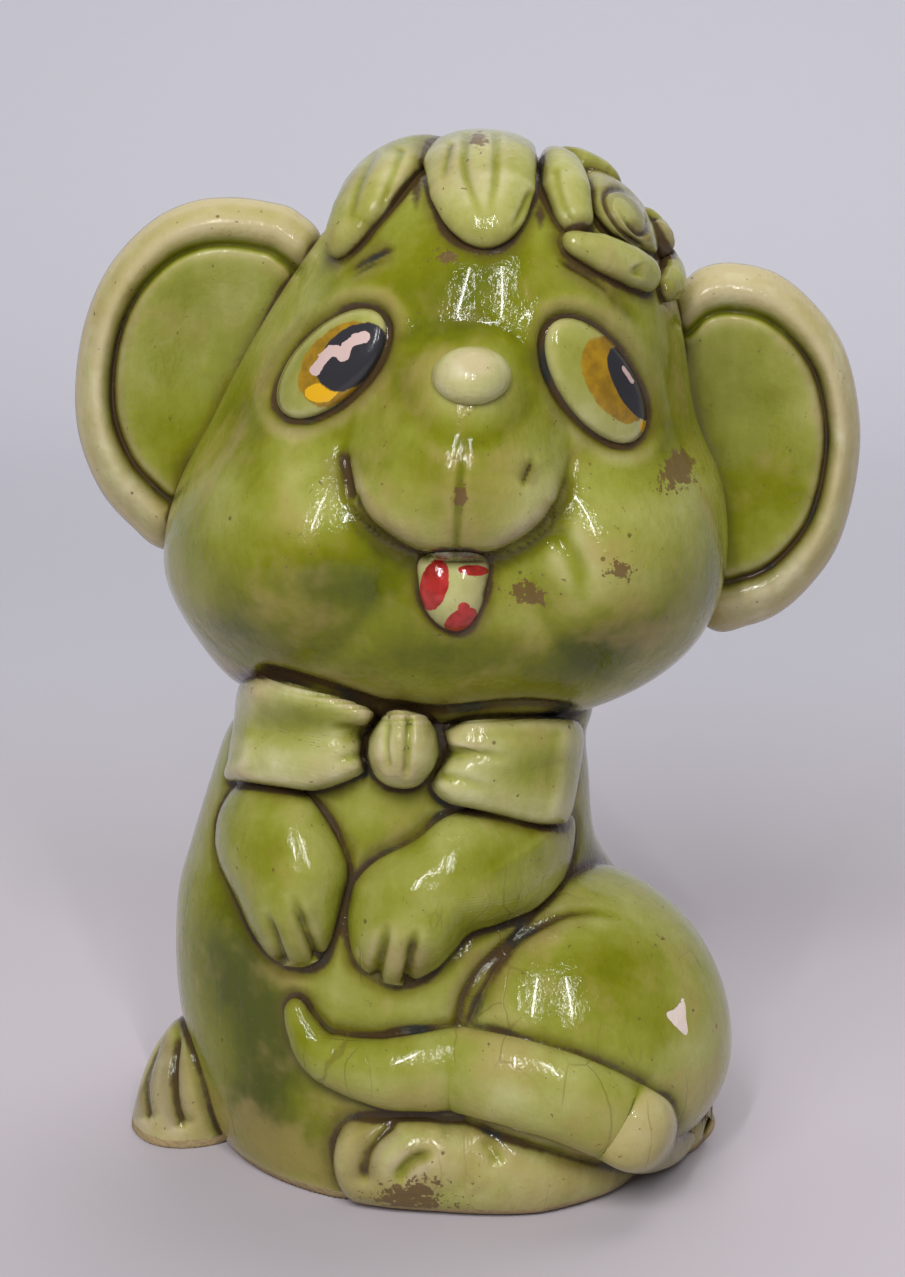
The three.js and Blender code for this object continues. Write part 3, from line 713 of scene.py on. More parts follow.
# dark pooled glaze and painted shade lie in the points between the tufts and the petals
for centre, size in (((-6.9, 143.4), (1.3, 4.0)), ((10.0, 140.0), (1.2, 3.2))):
    blotch("head_shell", "pool_and_shade", centre, size, 0.9, plane=HAIR_Y)

# ---- bow, arms, tail and feet --------------------------------------------------------------------

trunk = [body, haunch_left, haunch_right]
BOW_RIGHT = [
    (-29.7, 80.2), (-24.4, 78.8), (-19.3, 77.0), (-14.6, 75.4), (-12.2, 74.0), (-12.6, 72.0),
    (-13.8, 70.4), (-13.6, 68.4), (-13.5, 66.4), (-14.8, 65.0), (-19.5, 63.1), (-24, 62.8), (-32.2, 64.0),
    (-32.2, 67.4), (-31.0, 74.5),
]
BOW_LEFT = [
    (-3.2, 71.4), (-0.3, 73.2), (4.5, 73.7), (11.3, 73.8), (15.0, 72.8), (15.2, 68.4), (13.8, 59.0),
    (12.1, 57.2), (8, 57.8), (1.1, 59.9), (-3.2, 61.4), (-5.1, 63.6), (-4.6, 65.8), (-3.4, 67.6),
    (-3.0, 69.4),
]
KNOT = [
    (-8.6, 74.6), (-5.2, 73.4), (-3.6, 70.2), (-4.2, 66.2), (-7.2, 63.4), (-11.2, 63.8), (-13.6, 67.0),
    (-13.0, 71.8), (-11, 74),
]
for name, outline, centre in (
    ("bow_loop_right", BOW_RIGHT, (-22.5, 70.8)), ("bow_loop_left", BOW_LEFT, (6.5, 66)),
):
    Piece(name, "pale_glaze", 150, 100, place_pad(outline, centre, 7.0, [body], crown=4.5, dome=0.55))
Piece("bow_knot", "pale_glaze", 110, 80, place_pad(KNOT, (-8.7, 69.1), 9.0, [body], crown=2.8))
BOW_STANDS, BOW_TOP = 6.5, (70.5, 79.0)
for name in ("bow_loop_right", "bow_loop_left", "bow_knot"):
    # the bow's top stands forward, up against the chin
    piece = pieces[name]
    rays = piece.co - EYE
    rays /= np.linalg.norm(rays, axis=1)[:, None]
    piece.co -= rays * (BOW_STANDS * smoothstep(*BOW_TOP, drawn(piece.co)[:, 1]))[:, None]
    piece.update()
press("bow_loop_right", [
    ([(-12.8, 71.0), (-16, 71.3), (-19.5, 72.2)], 1.0, 1.0, 0.3, (0.05, 0.6)),
    ([(-13, 68.2), (-15.6, 67.8), (-19.5, 67.2)], 0.9, 0.6, 0.1, (0.1, 0.6)),
])
press("bow_loop_left", [
    ([(-4.0, 68.4), (1.8, 68.0), (6.5, 67.5)], 0.9, 1.0, 0.35, (0.05, 0.6)),
    ([(-4.4, 65.4), (0, 64.2), (5, 62.8)], 0.9, 0.5, 0.1, (0.1, 0.6)),
])
for name, outline in (("bow_loop_right", BOW_RIGHT), ("bow_loop_left", BOW_LEFT)):
    middle = np.mean(outline, axis=0)
    inner = [tuple(middle + (np.array(point) - middle) * 0.83) for point in outline]
    stroke(name, inner, 1.1, -0.3, pool_and_shade=0, closed=True)
press("bow_knot", [
    ([(-7.6, 74.6), (-8.0, 70.2), (-8.4, 64.0)], 0.55, 0.8, 0.3, (0.2, 0.2)),
    ([(-10.6, 73.6), (-11.2, 70.0), (-10.8, 65.0)], 0.55, 0.6, 0.2, (0.25, 0.25)),
])

ARM_RIGHT = [
    (-29.7, 65.4), (-22.9, 63.6), (-19.4, 59.6), (-16.6, 53.9), (-16.2, 50.1), (-17.4, 45.3), (-18.6, 41),
    (-20.5, 37.9), (-23.3, 36.8), (-26.8, 37.9), (-29.7, 42.0), (-32.0, 47.5), (-34.0, 52.2),
    (-34.6, 56.6), (-33.4, 61.5),
]
ARM_LEFT = [
    (-15.6, 50.1), (-12.7, 53.2), (-7.5, 56.1), (-3.0, 59.6), (3, 61.0), (10.5, 60.0), (14.8, 59.5),
    (14.8, 53.7), (13.0, 49.0), (9.8, 45.7), (4.6, 43.4), (0.6, 42.0), (-1.7, 39.4), (-4.5, 36.5),
    (-9.4, 34.2), (-13.2, 35.4), (-16.0, 38.3), (-16.9, 43.1), (-16.6, 47.1),
]
for name, outline, centre in (("arm_left", ARM_LEFT, (-3.5, 47.5)), ("arm_right", ARM_RIGHT, (-26, 50.5))):
    Piece(name, "green_glaze", 220, 120, place_pad(outline, centre, 8.0, trunk, crown=2.3, dome=0.66))
press("arm_right", [
    ([(-28.2, 46.0), (-27.2, 42), (-25.7, 37.4)], 0.8, 1.1, 0.6, (0.45, 0.02)),
    ([(-24.6, 48.4), (-22.6, 43.4), (-20.6, 38.2)], 0.85, 1.2, 0.65, (0.45, 0.02)),
])
press("arm_left", [
    ([(-10.9, 44.4), (-12, 39.5), (-12.9, 35)], 0.8, 1.1, 0.6, (0.45, 0.02)),
    ([(-6.9, 43.6), (-7.8, 39), (-8.4, 34.4)], 0.85, 1.1, 0.7, (0.45, 0.02)),
])

TAIL_UPPER = [
    (-22.9, 33.2), (-18.8, 29.6), (-13.5, 27.1), (-5.6, 27.4), (-0.5, 28.4), (7.4, 25.9), (14.5, 23.6),
    (21.5, 21.3), (28.7, 17.8), (33.9, 15.5),
]
TAIL_LOWER = [
    (-25.7, 32.8), (-26.4, 26.5), (-22, 18.6), (-11.3, 15.8), (-4.2, 16.1), (1.8, 15.5), (7.5, 14.0),
    (13.2, 11.5), (19.3, 8.2), (26.0, 4.6),
]
upper = spline(TAIL_UPPER, 60)[::-1]
lower = spline(TAIL_LOWER, 60)[::-1]
middle_line = (upper + lower) / 2
half_width = np.linalg.norm(upper - lower, axis=1) / 2
pick = np.linspace(0, 59, 12).astype(int)
spots, normals, _ = carry(middle_line[pick], trunk)
normals[:, 2] = np.maximum(normals[:, 2], 0.05)
normals /= np.linalg.norm(normals, axis=1)[:, None]
front_route = spots + normals * (half_width[pick] * 0.05)[:, None]
# from behind, the tail lies low against the haunch before it comes up over the front
tail_root = np.array([
    (8, 35.5, 11.5), (19, 30.5, 11), (27.5, 20.5, 9.5), (32, 9.5, 8), (33.6, -1.5, 7), (33.4, -12.5, 6),
])
tail_route = np.vstack([tail_root, front_route])
tail_wide = np.append([7.5, 7.3, 7.0, 6.8, 6.6, 6.6], np.maximum(half_width[pick], 1.6))
tail_thick = np.append([5.2, 5.2, 4.8, 4.2, 3.6, 3.2], np.linspace(3.0, 4.8, len(pick)))
tail_out = np.vstack([
    [(0.2, 1, 0.05), (0.6, 0.8, 0.05), (0.85, 0.5, 0), (1, 0.1, 0), (1, -0.2, 0), (0.9, -0.5, 0)], normals,
])
Piece(
    "tail", "green_glaze", 90, 420,
    place_sweep(tail_route, tail_wide, np.minimum(tail_wide * 0.9, tail_thick), tail_out),
)

FOOT_ROUTE = [
    (25, -19, 3.6), (18, -25, 4.8), (8, -29.8, 6), (-4, -30.2, 7), (-12, -29.5, 7.3), (-19, -27.5, 7.3),
]
FOOT_WIDE, FOOT_THICK = [3.2, 6.6, 8.4, 8.6, 8.3, 7.6], [3.6, 6.4, 7.4, 7.2, 7.0, 6.6]
Piece(
    "foot_left", "pale_glaze", 200, 170,
    place_sweep(FOOT_ROUTE, FOOT_WIDE, FOOT_THICK, (0.05, -1, 0.1), ends=0.6),
)
swell("foot_left", (-7, 9), (8.5, 7), 1.3)
press("foot_left", [
    ([(-9.8, 14.6), (-13.4, 10.8), (-14.7, 7.4), (-14.6, 3.6)], 0.65, 0.9, 0.75, (0.15, 0.2)),
    ([(-4.0, 9.2), (-7.0, 8.4), (-9.2, 6.3), (-9.9, 3.6)], 1.0, 1.3, 0.42, (0.3, 0.3)),
    ([(-5.5, 14.6), (-1.5, 14.5), (2.6, 14.1)], 0.9, 0.3, 0.9, (0.3, 0.3)),
    ([(2.2, 12.0), (4.0, 8.9), (5.2, 6.8)], 1.1, 0.7, 0.3, (0.3, 0.4)),
])


def place_side_foot(unit):
    p = place_oval((-40.6, -3.5, 4), (9.8, 9, 16.0), 2.3, 0.45)(unit)
    p[:, 0] += (p[:, 2] - 5) * 0.24
    return p


SIDE_Y = -5.0
Piece("foot_right", "pale_glaze", 150, 110, place_side_foot)
press("foot_right", [
    ([(-46.4, 17.5), (-47.4, 13.8), (-49.0, 8.7), (-49.3, 5.0), (-48.8, 1.2)], 0.6, 0.8, 0.8, (0.2, 0.05)),
    ([(-43.8, 17.5), (-44.4, 14.4), (-44.9, 8.7), (-44.6, 3.8), (-43.4, -0.1)], 0.7, 1.2, 0.85, (0.25, 0.05)),
], SIDE_Y)
HAUNCH_ARC = [
    (-1.4, 27.9), (-0.6, 32.4), (1.4, 36.4), (5.0, 40.2), (9.7, 43.2), (14.3, 45.2), (18.9, 45.2),
    (24.0, 43.6),
]
stroke(["body_shell", "haunch_left"], HAUNCH_ARC, 0.65, 0.7, pool_and_shade=0.85, fade=(0.02, 0.4))

# the coin slot, a pocket through the back of the head
SLOT = dict(length=34.0, width=5.0, height=118.0, depth=13.0)
across = np.abs(head.co[:, 0]) - (SLOT["length"] - SLOT["width"]) / 2
off = np.hypot(np.maximum(across, 0), head.co[:, 2] - SLOT["height"])
inside = smoothstep(SLOT["width"] / 2 + 0.35, SLOT["width"] / 2 - 0.1, off) * (head.co[:, 1] > 10)
head.co[:, 1] -= SLOT["depth"] * inside
head.update()

# ---- glaze run into the seams, and painted shade along them --------------------------------------


FAINT_SEAMS = {"eye_right": 0.25, "eye_left": 0.25, "tongue": 0.6, "haunch_left": 0.8}


def seams(reach=5.0):
    """Each piece's distance to its neighbours, as the pooled glaze and shade near a seam."""
    boxes = {name: (p.co.min(0), p.co.max(0)) for name, p in pieces.items()}
    for name, piece in pieces.items():
        gap = np.full(len(piece.co), reach)
        low, high = boxes[name]
        for other, neighbour in pieces.items():
            o_low, o_high = boxes[other][0] - reach, boxes[other][1] + reach
            if other == name or "nose" in (name, other) or np.any(o_low > high) or np.any(o_high < low):
                continue
            tree = neighbour.bvh()
            index = np.nonzero(np.all((piece.co > o_low) & (piece.co < o_high), axis=1))[0]
            for i in index:
                found = tree.find_nearest(piece.co[i], reach)
                if found[0] is not None and found[3] < gap[i]:
                    gap[i] = found[3]
        piece.gap = gap
        uneven = unevenness(piece.co)
        faint = FAINT_SEAMS.get(name, 1.0)
        piece.mark("pool_and_shade", faint * (0.62 + 0.6 * uneven) * np.exp(-((gap / (0.6 + 0.55 * uneven)) ** 2)))
        piece.mark("halo_and_shade", faint * 0.8 * np.exp(-((gap / 2.0) ** 2)))
        piece.mark("hollow", faint * 0.4 * np.exp(-((gap / 3.2) ** 2)), most=False)


seams()
for piece in pieces.values():
    if piece.name not in ("nose", "eye_left", "eye_right", "tongue"):
        piece.push(-0.25 * np.exp(-((piece.gap / 1.1) ** 2)))

# ---- painted shade over the face and body: darker glaze where shade falls ------------------------

for centre, size, amount, tilt in [
    ((-17, 91), (14, 8), 1.05, -0.25),
    ((-31, 86), (8, 8), 0.8, -0.6),
    ((-2, 82), (17, 5), 0.8, 0),
    ((19, 84), (13, 6), 0.95, 0.45),
    ((9, 90), (6, 4), 0.5, 0),
    ((-1, 133), (13, 6), 0.72, 0),
    ((-9.5, 121), (4, 7), 0.55, 0.5),
    ((9, 121), (3.5, 7), 0.45, -0.5),
    ((-27, 106), (5, 7), 0.3, 0.4),
    ((28, 118), (5, 12), 0.55, -0.2),
    ((-30, 114), (4, 10), 0.5, 0.2),
    ((33, 94), (5, 11), 0.55, 0),
    ((-1, 106), (9, 9), 0.75, 0),
    ((-37, 96), (5, 10), 0.3, 0),
    ((0, 125), (8, 8), 0.3, 0),
]:
    blotch("head_shell", "hollow", centre, size, amount, tilt)
for centre, size, amount, tilt in [
    ((-33, 36), (7, 16), 1.1, 0.12),
    ((-27, 27), (6, 12), 0.8, 0),
    ((-31, 16), (7, 8), 0.5, 0),
    ((18, 50), (6, 8), 0.9, 0),
    ((-22, 8), (8, 5), 0.3, 0),
    ((-12, 57), (6, 3), 0.15, 0),
    ((-25, 12), (8, 8), 0.5, 0),
]:
    blotch("body_shell", "hollow", centre, size, amount, tilt)
for name, centre, size, amount, tilt in [
    ("bow_loop_right", (-22, 73), (7, 3), 0.6, 0.1),
    ("bow_loop_left", (9, 67), (5, 5), 0.65, 0),
    ("arm_right", (-27, 55), (5, 6), 0.45, 0),
    ("arm_left", (4, 53), (8, 4), 0.4, 0.2),
    ("haunch_left", (18, 37), (9, 6), 0.45, 0),
    ("haunch_left", (27, 28), (5, 8), 0.4, 0),
    ("haunch_left", (20, 33), (12, 12), 0.4, 0),
    ("hair_tuft_right", (-13, 143), (2, 5), 0.3, -0.5),
    ("tail", (-24, 24), (3, 6), 0.3, 0),
    ("ear_left", (50, 96), (5, 9), 0.3, 0),
]:
    blotch(name, "hollow", centre, size, amount, tilt)

# painted highlight: the top of the nose is made paler
blotch("nose", "ridge", (0.6, 122), (3.4, 2.2), 1.1)

# ---- worn places ---------------------------------------------------------------------------------

for name, centre, size in [
    ("head_shell", (-2.6, 135.8), (1.8, 1.1)),
    ("head_shell", (-0.8, 104), (1.3, 2.4)),
    ("head_shell", (27.9, 106.9), (3.2, 2.6)),
    ("head_shell", (28.5, 109), (1.6, 1.8)),
    ("head_shell", (8.3, 91), (3.4, 2.2)),
    ("head_shell", (20.5, 94), (2.4, 1.8)),
    ("hair_tuft_centre", (1.6, 151.2), (1.5, 2.0)),
    ("foot_left", (-8, 2.4), (7.2, 3.6)),
]:
    blotch(name, "stain", centre, size, 1.0)
CHIP = [(30.3, 33.0), (29.2, 31.3), (27.9, 30.2), (29.4, 28.2), (31.0, 26.7), (30.8, 29.5)]
haunch_left.mark("chip", 0.5 + within(drawn(haunch_left.co), CHIP, 3.0).clip(-0.5, 1) * 1.2)

# ---- painted eyes and tongue ---------------------------------------------------------------------


def inside_oval(piece, centre, long, short, tilt):
    return 1 - np.sqrt(oval_share(drawn(piece.co), centre, (long, short), tilt))


def near_line(piece, line, width):
    away, _ = distance_to(drawn(piece.co), spline(line, 60), 6.0)
    return 1 - np.minimum(away / width, 2)


right, left = pieces["eye_right"], pieces["eye_left"]
right.mark("iris", 1 + inside_oval(right, (-16.6, 121.8), 6.7, 4.4, 0.78))
right.mark("pupil", 1 + inside_oval(right, (-15.2, 122.7), 5.5, 3.5, 0.76))
left.mark("iris", 1 + inside_oval(left, (19.6, 119.7), 6.3, 3.7, -1.05))
left.mark("pupil", 1 + inside_oval(left, (21.6, 119.1), 5.4, 2.0, -1.08))
# the pale strokes over the pupils are painted highlights
EYE_GLINT = [(-20.0, 121.0), (-18.7, 122.8), (-17.4, 123.6), (-16.3, 122.9), (-15.6, 124.4), (-13.5, 125.4)]
right.mark("flake", 1 + near_line(right, EYE_GLINT, 0.75))
right.mark("fresh", 1 + inside_oval(right, (-19.3, 118.0), 2.2, 1.3, 0.1))
left.mark("flake", 1 + near_line(left, [(20.6, 121.3), (21.2, 120.4), (21.9, 119.4)], 0.25))
left.mark("fresh", 1 + inside_oval(left, (24.0, 113.8), 1.3, 0.9, 0.9))
tongue = pieces["tongue"]
red = np.maximum.reduce([
    inside_oval(tongue, (-4.4, 91.9), 3.6, 1.9, 1.35),
    inside_oval(tongue, (0.9, 93.9), 2.1, 0.75, -0.05),
    inside_oval(tongue, (-0.8, 86.9), 2.5, 1.55, 0.55),
    inside_oval(tongue, (-0.4, 88.8), 0.8, 0.7, 0),
])
tongue.mark("red", 1 + np.maximum(red, -1))

# ---- the stopper ---------------------------------------------------------------------------------


def make_stopper():
    low, high = stopper_low[2], stopper_high[2]
    flange = (stopper_high - stopper_low)[0] / 2
    plug, thickness, cup = hole_radius - STOPPER_CLEARANCE, 1.6, 10.0
    profile = [
        (0, low + 7), (cup - 1, low + 7), (cup, low + 6), (cup, low + 0.6), (cup + 0.6, low),
        (flange - 0.5, low), (flange, low + 0.5), (flange, low + thickness - 0.4),
        (flange - 0.4, low + thickness), (plug, low + thickness), (plug - 0.7, high - 0.6),
        (plug - 1.3, high), (0, high),
    ]
    shape = bmesh.new()
    points = [shape.verts.new((r, 0, z)) for r, z in profile]
    edges = [shape.edges.new(pair) for pair in zip(points, points[1:])]
    bmesh.ops.spin(
        shape, geom=points + edges, cent=(0, 0, 0), axis=(0, 0, 1), dvec=(0, 0, 0),
        angle=2 * math.pi, steps=96, use_merge=True, use_duplicate=False,
    )
    bmesh.ops.remove_doubles(shape, verts=shape.verts, dist=0.001)
    bmesh.ops.recalc_face_normals(shape, faces=shape.faces)
    bmesh.ops.translate(shape, verts=shape.verts, vec=(AXIS[0], AXIS[1], 0))
    bmesh.ops.scale(shape, verts=shape.verts, vec=(MM, MM, MM))
    mesh = bpy.data.meshes.new("stopper")
    shape.to_mesh(mesh)
    shape.free()
    return mesh


# ---- materials -----------------------------------------------------------------------------------


def srgb(red, green, blue):
    """A linear colour from 0-255 sRGB values."""
    parts = [v / 255 for v in (red, green, blue)]
    return tuple(v / 12.92 if v <= 0.04045 else ((v + 0.055) / 1.055) ** 2.4 for v in parts) + (1.0,)


class Graph:
    """Short names for the shader nodes that are used here."""

    def __init__(self, tree):
        self.tree = tree

    def node(self, kind, ins=(), **settings):
        made = self.tree.nodes.new(kind)
        for name, value in settings.items():
            setattr(made, name, value)
        for key, value in dict(ins).items():
            self.feed(made.inputs[key], value)
        return made

    def feed(self, socket, value):
        if isinstance(value, bpy.types.NodeSocket):
            self.tree.links.new(value, socket)
        else:
            socket.default_value = value

    def math(self, operation, a, b=0.0):
        made = self.tree.nodes.new("ShaderNodeMath")
        made.operation = operation
        for socket, value in zip(made.inputs, (a, b)):
            self.feed(socket, value)
        return made.outputs[0]

    def add(self, *values):
        total = values[0]
        for value in values[1:]:
            total = self.math("ADD", total, value)
        return total

    def times(self, a, b):
        return self.math("MULTIPLY", a, b)

    def between(self, low, high, value):
        made = self.node("ShaderNodeMapRange", interpolation_type="SMOOTHSTEP")
        for key, given in (("Value", value), ("From Min", low), ("From Max", high)):
            self.feed(made.inputs[key], given)
        return made.outputs["Result"]

    def mix(self, share, a, b):
        made = self.node("ShaderNodeMix", data_type="RGBA")
        for socket, given in ((made.inputs[0], share), (made.inputs[6], a), (made.inputs[7], b)):
            self.feed(socket, given)
        return made.outputs[2]

    def attribute(self, name):
        return self.node("ShaderNodeAttribute", attribute_name=name).outputs["Fac"]

    def place(self, stretch=(1, 1, 1)):
        """Object coordinates in millimetres, stretched."""
        where = self.node("ShaderNodeTexCoord").outputs["Object"]
        scale = [s / MM for s in stretch]
        return self.node("ShaderNodeVectorMath", {0: where, 1: scale}, operation="MULTIPLY").outputs[0]

    def noise(self, where, size, detail=3.0, rough=0.55, offset=0.0):
        """Noise about zero, with features of this size in millimetres."""
        ins = {"Vector": where, "Scale": 1 / size, "Detail": detail, "Roughness": rough, "W": offset}
        made = self.node("ShaderNodeTexNoise", ins, noise_dimensions="4D")
        return self.math("SUBTRACT", made.outputs["Fac"], 0.5)

    def ramp(self, value, stops):
        made = self.node("ShaderNodeValToRGB", {"Fac": value})
        band = made.color_ramp
        band.elements[0].position, band.elements[0].color = stops[0]
        band.elements[1].position, band.elements[1].color = stops[-1]
        for position, colour in stops[1:-1]:
            band.elements.new(position).color = colour
        return made.outputs["Color"]


def new_group(name, ins, outs):
    tree = bpy.data.node_groups.new(name, "ShaderNodeTree")
    for label, kind in ins:
        tree.interface.new_socket(label, in_out="INPUT", socket_type=kind)
    for label, kind in outs:
        tree.interface.new_socket(label, in_out="OUTPUT", socket_type=kind)
    graph = Graph(tree)
    return graph, graph.node("NodeGroupInput"), graph.node("NodeGroupOutput")


GLAZE_TONES = [
    (0.00, srgb(202, 196, 164)),
    (0.18, srgb(178, 175, 124)),
    (0.36, srgb(154, 154, 84)),
    (0.54, srgb(131, 134, 48)),
    (0.70, srgb(111, 114, 14)),
    (0.86, srgb(90, 95, 6)),
    (1.00, srgb(70, 76, 5)),
]
# the brown is the dark glaze in grooves and also painted shade in seams and gaps; the grey is a painted
# reflection on it
POOLED_BROWN_AND_SHADE = srgb(66, 50, 32)
POOLED_GREY_REFLECTION = srgb(40, 42, 44)
TAN = srgb(158, 138, 84)
CLAY = srgb(158, 138, 100)


def glaze_group():
    """Run green glaze, rubbed pale on the high places and pooled dark in the low ones, with painted shade in
    hollows, grooves and seams, a painted highlight on the nose top and a painted grey reflection in the
    pooled glaze.
    """
    floats = "NodeSocketFloat"
    g, given, result = new_group(
        "Antiqued glaze",
        [("Pale", floats), ("Crackle", floats)],
        [("Colour", "NodeSocketColor"), ("Roughness", floats), ("Coat", floats), ("Height", floats)],
    )
    where = g.place()
    broad = g.noise(where, 17, 2, 0.5)
    middle = g.noise(where, 5.0, 4, 0.6, 3.0)
    fine = g.noise(where, 1.1, 3, 0.6, 7.0)
    streak = g.noise(g.place((1, 1, 0.35)), 2.4, 3, 0.6, 11.0)
    pool_and_shade, hollow, ridge = (g.attribute(name) for name in ("pool_and_shade", "hollow", "ridge"))
    # the hollow mask darkens the tone: thicker glaze in hollows, and painted shade where shade falls
    tone = g.add(
        0.50, g.times(hollow, 0.46), g.times(ridge, -0.40), g.times(broad, 0.50), g.times(middle, 0.30),
        g.times(streak, 0.16), g.times(fine, 0.07), g.times(given.outputs["Pale"], -0.26),
    )
    colour = g.ramp(tone, GLAZE_TONES)
    high = g.node("ShaderNodeSeparateXYZ", {0: where}).outputs["Z"]
    browned = g.noise(where, 9, 3, 0.6, 41.0)
    browned = g.add(browned, g.times(ridge, 0.25), g.times(g.between(26, 2, high), 0.20))
    colour = g.mix(g.times(g.between(0.02, 0.30, browned), 0.55), colour, TAN)
    # a dark olive band around grooves and seams: brown antiquing, and painted shade between the parts
    halo_and_shade = g.between(0.05, 1.0, g.add(g.attribute("halo_and_shade"), g.times(middle, 0.5)))
    colour = g.mix(g.times(halo_and_shade, 0.72), colour, srgb(92, 80, 34))
    # dark pooled glaze in grooves and painted shade in seams and gaps; the grey in it is a painted reflection
    deep = g.between(0.34, 0.86, g.add(pool_and_shade, g.times(middle, 0.6), g.times(fine, 0.4)))
    pooled = g.mix(g.between(0.0, 0.2, g.noise(where, 6.0, 2, 0.5, 19.0)), POOLED_BROWN_AND_SHADE, POOLED_GREY_REFLECTION)
    colour = g.mix(g.times(deep, 0.93), colour, pooled)
    grains = g.node("ShaderNodeTexVoronoi", {"Vector": where, "Scale": 1 / 3.6, "Randomness": 1.0})
    pick = g.node("ShaderNodeSeparateColor", {0: grains.outputs["Color"]})
    size = g.times(g.between(0.70, 1.0, pick.outputs[0]), 0.11)
    speck = g.times(g.between(0.0, 0.05, g.math("SUBTRACT", size, grains.outputs["Distance"])), 0.75)
    colour = g.mix(speck, colour, srgb(92, 72, 30))
    wander = g.node("ShaderNodeTexNoise", {"Vector": where, "Scale": 0.3, "Detail": 2.0}).outputs["Color"]
    warp = g.node("ShaderNodeVectorMath", {0: g.place((1, 1, 0.10)), 1: wander}, operation="ADD").outputs[0]
    cells = g.node("ShaderNodeTexVoronoi", {"Vector": warp, "Scale": 1 / 6.6}, feature="DISTANCE_TO_EDGE")
    net = cells.outputs["Distance"]
    shown = g.times(g.between(-0.02, 0.16, g.noise(where, 12, 2, 0.5, 23.0)), g.between(56, 40, high))
    crack = g.times(g.times(g.between(0.022, 0.006, net), shown), given.outputs["Crackle"])
    colour = g.mix(g.times(crack, 0.62), colour, srgb(80, 58, 28))
    grit = g.noise(where, 0.9, 2, 0.7, 31.0)
    stain = g.between(0.46, 0.62, g.add(g.attribute("stain"), g.times(middle, 0.6), g.times(grit, 2.6)))
    colour = g.mix(g.times(stain, 0.85), colour, srgb(96, 70, 42))
    chip = g.between(0.48, 0.56, g.add(g.attribute("chip"), g.times(middle, 0.9), g.times(fine, 0.5)))
    colour = g.mix(chip, colour, srgb(214, 198, 188))
    clay = g.between(0.42, 0.60, g.add(g.attribute("clay"), g.times(middle, 0.9)))
    colour = g.mix(clay, colour, CLAY)
    bare = g.math("MAXIMUM", chip, clay)
    rough = g.add(0.10, g.times(bare, 0.65), g.times(stain, 0.22), g.times(g.math("ABSOLUTE", middle), 0.18))
    height = g.add(
        g.times(middle, 0.55), g.times(fine, 0.20), g.times(streak, 0.3), g.times(speck, -0.35),
        g.times(crack, -0.25), g.times(chip, -0.9), g.times(g.times(clay, fine), 0.9),
    )
    coat = g.math("SUBTRACT", 1.0, bare)
    for label, value in (("Colour", colour), ("Roughness", rough), ("Coat", coat), ("Height", height)):
        g.feed(result.inputs[label], value)
    return g.tree


ANTIQUED = glaze_group()


def new_material(name):
    made = bpy.data.materials.new(name)
    made.use_nodes = True
    made.node_tree.nodes.clear()
    g = Graph(made.node_tree)
    shader = g.node("ShaderNodeBsdfPrincipled", {"IOR": 1.5, "Specular IOR Level": 0.25})
    g.feed(g.node("ShaderNodeOutputMaterial").inputs["Surface"], shader.outputs[0])
    return made, g, shader


def glazed(name, pale, crackle):
    made, g, shader = new_material(name)
    look = g.node("ShaderNodeGroup", node_tree=ANTIQUED)
    look.inputs["Pale"].default_value = pale
    look.inputs["Crackle"].default_value = crackle
    bump = g.node("ShaderNodeBump", {"Height": look.outputs["Height"], "Strength": 0.55, "Distance": 0.0009})
    g.feed(shader.inputs["Base Color"], look.outputs["Colour"])
    g.feed(shader.inputs["Roughness"], look.outputs["Roughness"])
    g.feed(shader.inputs["Coat Weight"], g.times(look.outputs["Coat"], 0.2))
    shader.inputs["Coat Roughness"].default_value = 0.05
    g.feed(shader.inputs["Normal"], bump.outputs[0])
    return made


def painted_mask():
    """A hand-painted patch with a slightly wavering edge."""
    floats = "NodeSocketFloat"
    g, given, result = new_group("Brushed patch", [("Value", floats), ("Waver", floats)], [("Mask", floats)])
    waver = g.times(g.noise(g.place(), 1.6, 3, 0.6), given.outputs["Waver"])
    g.feed(result.inputs["Mask"], g.between(0.97, 1.03, g.add(given.outputs["Value"], waver)))
    return g.tree


BRUSHED = painted_mask()


def patch(g, name, waver):
    made = g.node("ShaderNodeGroup", node_tree=BRUSHED)
    made.inputs["Waver"].default_value = waver
    g.feed(made.inputs["Value"], g.attribute(name))
    return made.outputs["Mask"]


def painted_eye():
    made, g, shader = new_material("Painted eye")
    look = g.node("ShaderNodeGroup", node_tree=ANTIQUED)
    look.inputs["Pale"].default_value = 0.35
    where = g.place()
    amber = g.mix(g.between(-0.2, 0.2, g.noise(where, 2.2)), srgb(128, 98, 26), srgb(160, 124, 28))
    colour = g.mix(patch(g, "iris", 0.25), look.outputs["Colour"], amber)
    colour = g.mix(patch(g, "fresh", 0.5), colour, srgb(214, 164, 30))
    colour = g.mix(patch(g, "pupil", 0.15), colour, srgb(46, 46, 50))
    # painted highlight: a pale stroke over the pupil
    colour = g.mix(patch(g, "flake", 1.5), colour, srgb(196, 170, 164))
    g.feed(shader.inputs["Base Color"], colour)
    g.feed(shader.inputs["Roughness"], g.add(0.12, g.times(patch(g, "pupil", 0.15), 0.1)))
    shader.inputs["Coat Weight"].default_value = 0.3
    shader.inputs["Coat Roughness"].default_value = 0.08
    bump = g.node("ShaderNodeBump", {"Height": look.outputs["Height"], "Strength": 0.4, "Distance": 0.0007})
    g.feed(shader.inputs["Normal"], bump.outputs[0])
    return made


